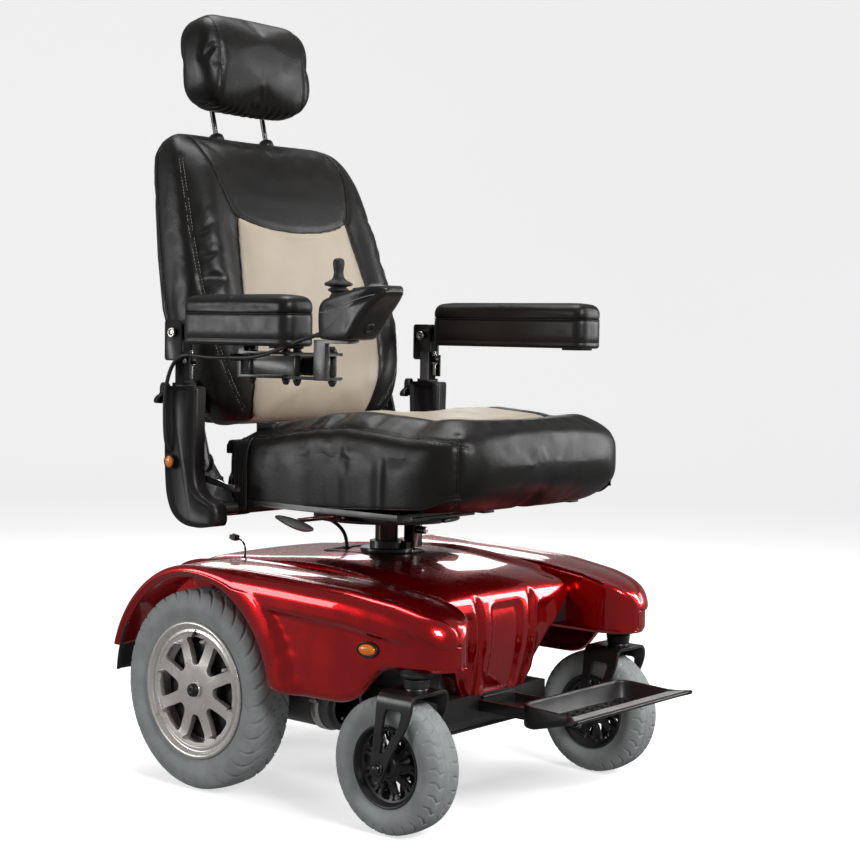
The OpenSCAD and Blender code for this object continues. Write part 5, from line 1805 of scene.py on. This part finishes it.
def make_stick():
    profile = [(11, 3.6), (12, 8), (14.5, 12.5), (18, 14.4), (20, 14.6), (22, 13.6), (24.5, 11.6), (27, 12),
               (29.5, 16.6), (31.5, 17.4), (33, 15.6), (34.5, 12.8), (36, 13.6), (38, 22), (40, 23.4),
               (42.5, 22), (45.5, 16), (48.5, 11), (53, 8.6), (60, 7.9), (67, 8.8), (73, 9.6), (77, 9.4),
               (80, 8.2), (82, 5.6), (82.8, 2.4)]
    x, y, foot = STICK
    turns = [2 * math.pi * k / 48 for k in range(48)]
    rings = [[Vector((x + r * math.cos(a), y + r * math.sin(a), foot + z)) for a in turns]
             for z, r in profile]
    put(build("joystick_knob", *loft(rings), BOOT), "stick", "stick_rubber", "joystick_stick")
    shaft = rod((x, y, foot), (x, y, foot + 19), 3.4, 20)
    put(build("joystick_shaft", *shaft, STEEL), "stick", "bolt_steel")
    upright = Matrix.Translation(Vector((x, y, foot + 6))) @ Matrix.Rotation(math.radians(90), 4, "Y")
    ring = turned(lathe([(-4, 6.4), (-4, 8.6), (-3.4, 9.2), (3.4, 9.2), (4, 8.6), (4, 6.4)], 48), upright)
    put(build("gimbal_ring_body", *ring, CAST_SILVER), "gimbal", "gimbal_metal", "gimbal_ring")


def make_keys():
    key = merged(cushioned(arc((-14, 4), 5.9, 0, 350, 35), -6, 3, 0.9, "Z", 3),
                 cushioned(arc((-14, 4), 3.4, 0, 350, 35), 2.6, 3.5, 0.4, "Z", 2))
    put(build("power_key_cap", *turned(key, KEYS), GREEN_KEY), "power_button", "key_green", "power_key")
    outline = [(14 + r * math.cos(a), 4 + r * math.sin(a)) for a, r in
               [(2 * math.pi * k / 96, 8.9 - 0.5 * (k % 4 == 0)) for k in range(96)]]
    dial = merged(cushioned(outline, 1, 8, 1.0, "Z", 3), rod((14, 4, -9), (14, 4, 2), 3.9, 24),
                  rounded_box((13.3, 6, 7.4), (14.7, 12, 8.6), 0.5, "Z"))
    put(build("speed_dial_cap", *turned(dial, KEYS), DIAL), "speed_knob", "dial_grey", "speed_dial")


CABLE_HOUSING = [(-346, -122, 812), (-350, -104, 809), (-354, -84, 804), (-356, -62, 797), (-357, -40, 790),
                 (-357, -18, 783), (-357, 4, 777)]
CABLE_LINK = [(-357, 4, 777), (-357, 24, 773), (-357, 46, 770), (-357, 70, 769), (-357, 96, 769)]
CABLE_ARM = [(-357, 96, 769), (-357, 112, 768), (-358, 128, 768), (-358, 144, 768), (-359, 160, 769),
             (-359, 175, 770), (-360, 190, 771)]
CABLE_POST = [(-360, 190, 771), (-360, 206, 770), (-359, 220, 766), (-358, 233, 758), (-357, 244, 746),
              (-357, 251, 732)]
CABLE_FALL = [(-357, 251, 732), (-357, 256, 716), (-357, 259, 698), (-357, 260, 672), (-357, 259, 640),
              (-354, 258, 614), (-346, 256, 600)]


def make_stick_cable():
    """The controller's cable, in stretches that meet end to end; only the stretch along the arm rides on a
    body.
    """
    def stretch(name, points):
        return tube_piece(name, smooth_path(points, 6), 3.5, CABLE)

    first = stretch("stick_cable_front", CABLE_HOUSING)
    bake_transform(first)
    second = stretch("stick_cable_link", CABLE_LINK)
    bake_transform(second)
    put(stretch("stick_cable_arm", CABLE_ARM), "arm_right", "cable_black", "stick_cable")
    third = stretch("stick_cable_post", CABLE_POST)
    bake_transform(third)
    last = stretch("stick_cable_fall", CABLE_FALL)
    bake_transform(last)
    relief = sweep([(-340, -128, 813), (-344, -124, 812), (-347, -116, 811), (-351, -104, 809)],
                   [7, 6.4, 5.2, 4.2], 16)
    put(build("cable_relief", *relief, BOOT), "stick_body", "boot_rubber")


make_swing_mount()
make_joystick_housing()
make_stick()
make_keys()
make_stick_cable()


# ---------------------------------------------------------------- levers, footplate and chassis

def make_levers():
    """The paddle that frees the swivel, and the two levers by the backrest's hinge."""
    rings = []
    for y, z, half_x, half_z in ((0, 474, 5, 1.6), (2, 474, 9, 3), (7, 474.5, 12, 5), (18, 476.5, 14, 6.6),
                                 (34, 480, 15, 7.2), (52, 484, 14, 6.4), (66, 487, 11, 5.2),
                                 (76, 489, 8, 4.2), (83, 490, 6, 3.2), (85, 490, 4, 2)):
        rings.append([Vector((-251 + x, y, z + h)) for x, h in squircle(half_x, half_z, 0.75, 36)])
    paddle = build("swivel_paddle", *loft(rings), LEVER_GREY)
    smoothed(paddle, 1)
    put(paddle, "swivel_handle", "lever_grey", "swivel_lever")
    bar = round_outline([(-246, 483.5), (-148, 483), (-142, 487), (-148, 491), (-246, 490.5)], 2, 3)
    shaft = merged(rod((-148, 20, 487), (-148, 54, 487), 3.95, 24), cushioned(bar, 34, 40, 1, "Y", 3))
    put(build("swivel_lever_bar", *shaft, STEEL), "swivel_handle", "chrome")
    for name, node, body, thickness in (("recline_lever_bar", "recline_lever", "recline_handle", 1.6),
                                        ("slide_lever_bar", "slide_lever", "slide_handle", 0.5)):
        put(softened(name, node, CHROME, thickness, 3), body, "chrome", node)
    tip = rounded_box((-294, 146, 531), (-280, 176, 543), 4.5, "Y", 5)
    put(build("recline_lever_grip", *tip, TRIM), "recline_handle", "lever_grey")


def footplate_rings():
    plan = round_outline([(-150, -375), (-150, -480), (-180, -506), (180, -506), (150, -480), (150, -375)],
                         [32, 10, 6, 6, 10, 32], 8)
    under = lambda y: 174 + max(0, (-416 - y)) * 0.292
    rim = lambda y: between(y, [(-506, 206), (-480, 208), (-375, 213)])
    floor = lambda y: between(y, [(-506, 204), (-470, 200), (-424, 180), (-375, 180)])

    def ring(inset, height, scale=1.0):
        made = []
        for p in offset_loop(plan, inset):
            x, y = p.x * scale, -432 + (p.y + 432) * scale
            made.append(Vector((x, y, height(y))))
        return made

    rings = [ring(8, under, s) for s in (0.12, 0.4, 0.7, 0.9)]
    rings += [ring(8, under), ring(3, lambda y: under(y) + 0.6), ring(0.6, lambda y: under(y) + 3),
              ring(0, lambda y: min(under(y) + 8, rim(y) - 3)), ring(0, lambda y: rim(y) - 2),
              ring(0.8, lambda y: rim(y) - 0.5),
              ring(2.2, rim), ring(4.4, rim), ring(5.6, lambda y: rim(y) - 0.8),
              ring(6.6, lambda y: max(floor(y), rim(y) - 4)),
              ring(8.5, lambda y: floor(y) + 3), ring(11, lambda y: floor(y) + 0.8), ring(15, floor)]
    rings += [ring(15, floor, s) for s in (0.9, 0.78, 0.6, 0.4, 0.2, 0.06)]
    return rings


def make_footplate():
    ears = []
    for x in (-40, 28):
        ears.append(cushioned(arc((-338, 174), 11, 0, 345, 23), x, x + 12, 1.2, "X", 3))
        ears.append(rounded_box((x, -378, 174.5), (x + 12, -338, 184.5), 1.4, "X"))
    tray = build("footplate_tray", *merged(loft(footplate_rings()), *ears), PLATE)
    put(tray, "foot", "plate_black", "footplate")
    strips = []
    for k in range(6):
        y = -497 + 3.6 * k
        z = between(y, [(-506, 206.2), (-470, 202.0)])
        half = between(y, [(-506, 170), (-480, 144)])
        strips.append(sweep([(-half, y, z), (-half + 2, y, z + 0.9), (half - 2, y, z + 0.9), (half, y, z)],
                            1.75, 8))
    put(build("footplate_grip", *merged(*strips), GRIP), "foot", "grip_grey")
    treads = []
    for row in range(3):
        for k in range(9):
            x = -112 + 28 * k
            y = -394 - 11 * row
            treads.append(rounded_box((x - 9, y - 1.6, 179.6), (x + 9, y + 1.6, 181.6), 0.8, "X", 1))
    put(build("footplate_treads", *merged(*treads), PLATE), "foot", "plate_black")
    pins = merged(rod((-52, -338, 174), (52, -338, 174), 5.9, 28),
                  hex_head((50, -338, 174), (1, 0, 0), 8, 5),
                  hex_head((-50, -338, 174), (-1, 0, 0), 8, 5))
    put(build("footplate_pin", *pins, DARK_STEEL), "chassis", "bolt_steel")


def make_motor_bands(word, side):
    x, z, r = 200, 165, 42
    band = [(w, r + h) for w, h in ((-9, 0), (-9, 2.4), (-8, 3.2), (8, 3.2), (9, 2.4), (9, 0))]
    ring = turned(lathe(band, 72),
                  Matrix.Translation(Vector((x, -6, z))) @ Matrix.Rotation(math.radians(90), 4, "Z"))
    lug = rounded_box((x + 34, -15, z + 10), (x + 50, 3, z + 18), 2, "Z")
    put(build("motor_band_" + word, *mirrored(merged(ring, lug), side), CAST_SILVER), "chassis",
        "motor_silver")
    bolt = hex_head((x + 46, -6, z + 18), (0, 0, 1), 5, 5)
    end = cushioned(arc((x, z), 34, 0, 354, 59), -46, -38, 3, "Y", 4)
    holes = [cap_bolt((x + 24 * math.cos(a), -45.5, z + 24 * math.sin(a)), (0, -1, 0), 3, 2)
             for a in (0.8, 2.35, 3.93, 5.5)]
    put(build("motor_bolts_" + word, *mirrored(merged(bolt, *holes), side), STEEL), "chassis", "bolt_steel")
    put(build("motor_end_" + word, *mirrored(end, side), MOTOR_PAINT), "chassis", "motor_cast")


def make_chassis():
    plain = {"frame": (FRAME_PAINT, "frame_paint", 1.6, "chassis"),
             "footplate_bracket": (FRAME_PAINT, "frame_paint", 1.0, "chassis"),
             "post_socket": (POST_PAINT, "post_black", 1.4, "chassis"),
             "seat_post": (POST_PAINT, "post_black", 1.0, "post"),
             "swivel_plate": (FRAME_PAINT, "frame_paint", 1.0, "swivel"),
             "seat_frame": (FRAME_PAINT, "frame_paint", 1.0, "seat"),
             "back_frame": (FRAME_PAINT, "frame_paint", 1.2, "back"),
             "batteries": (CASE, "battery_case", 4.0, "chassis"),
             "controller": (ALLOY, "controller_case", 1.2, "chassis"),
             "motor_left": (MOTOR_PAINT, "motor_cast", 3.0, "chassis"),
             "motor_right": (MOTOR_PAINT, "motor_cast", 3.0, "chassis"),
             "release_lever_left": (RELEASE_RED, "release_red", 1.2, "release_left"),
             "release_lever_right": (RELEASE_RED, "release_red", 1.2, "release_right")}
    for node, (material, slot, width, body) in plain.items():
        put(softened(node + "_body", node, material, width, 3), body, slot, node)
    pin = merged(rod((38, -14, 452), (38, 8, 452), 6, 20), hex_head((50, 18, 440), (1, 0, 0), 5, 5),
                 hex_head((50, 18, 458), (1, 0, 0), 5, 5))
    put(build("height_lock_bolts", *pin, STEEL), "chassis", "bolt_steel")
    for word, side in SIDES.items():
        make_motor_bands(word, side)


make_levers()
make_footplate()
make_chassis()
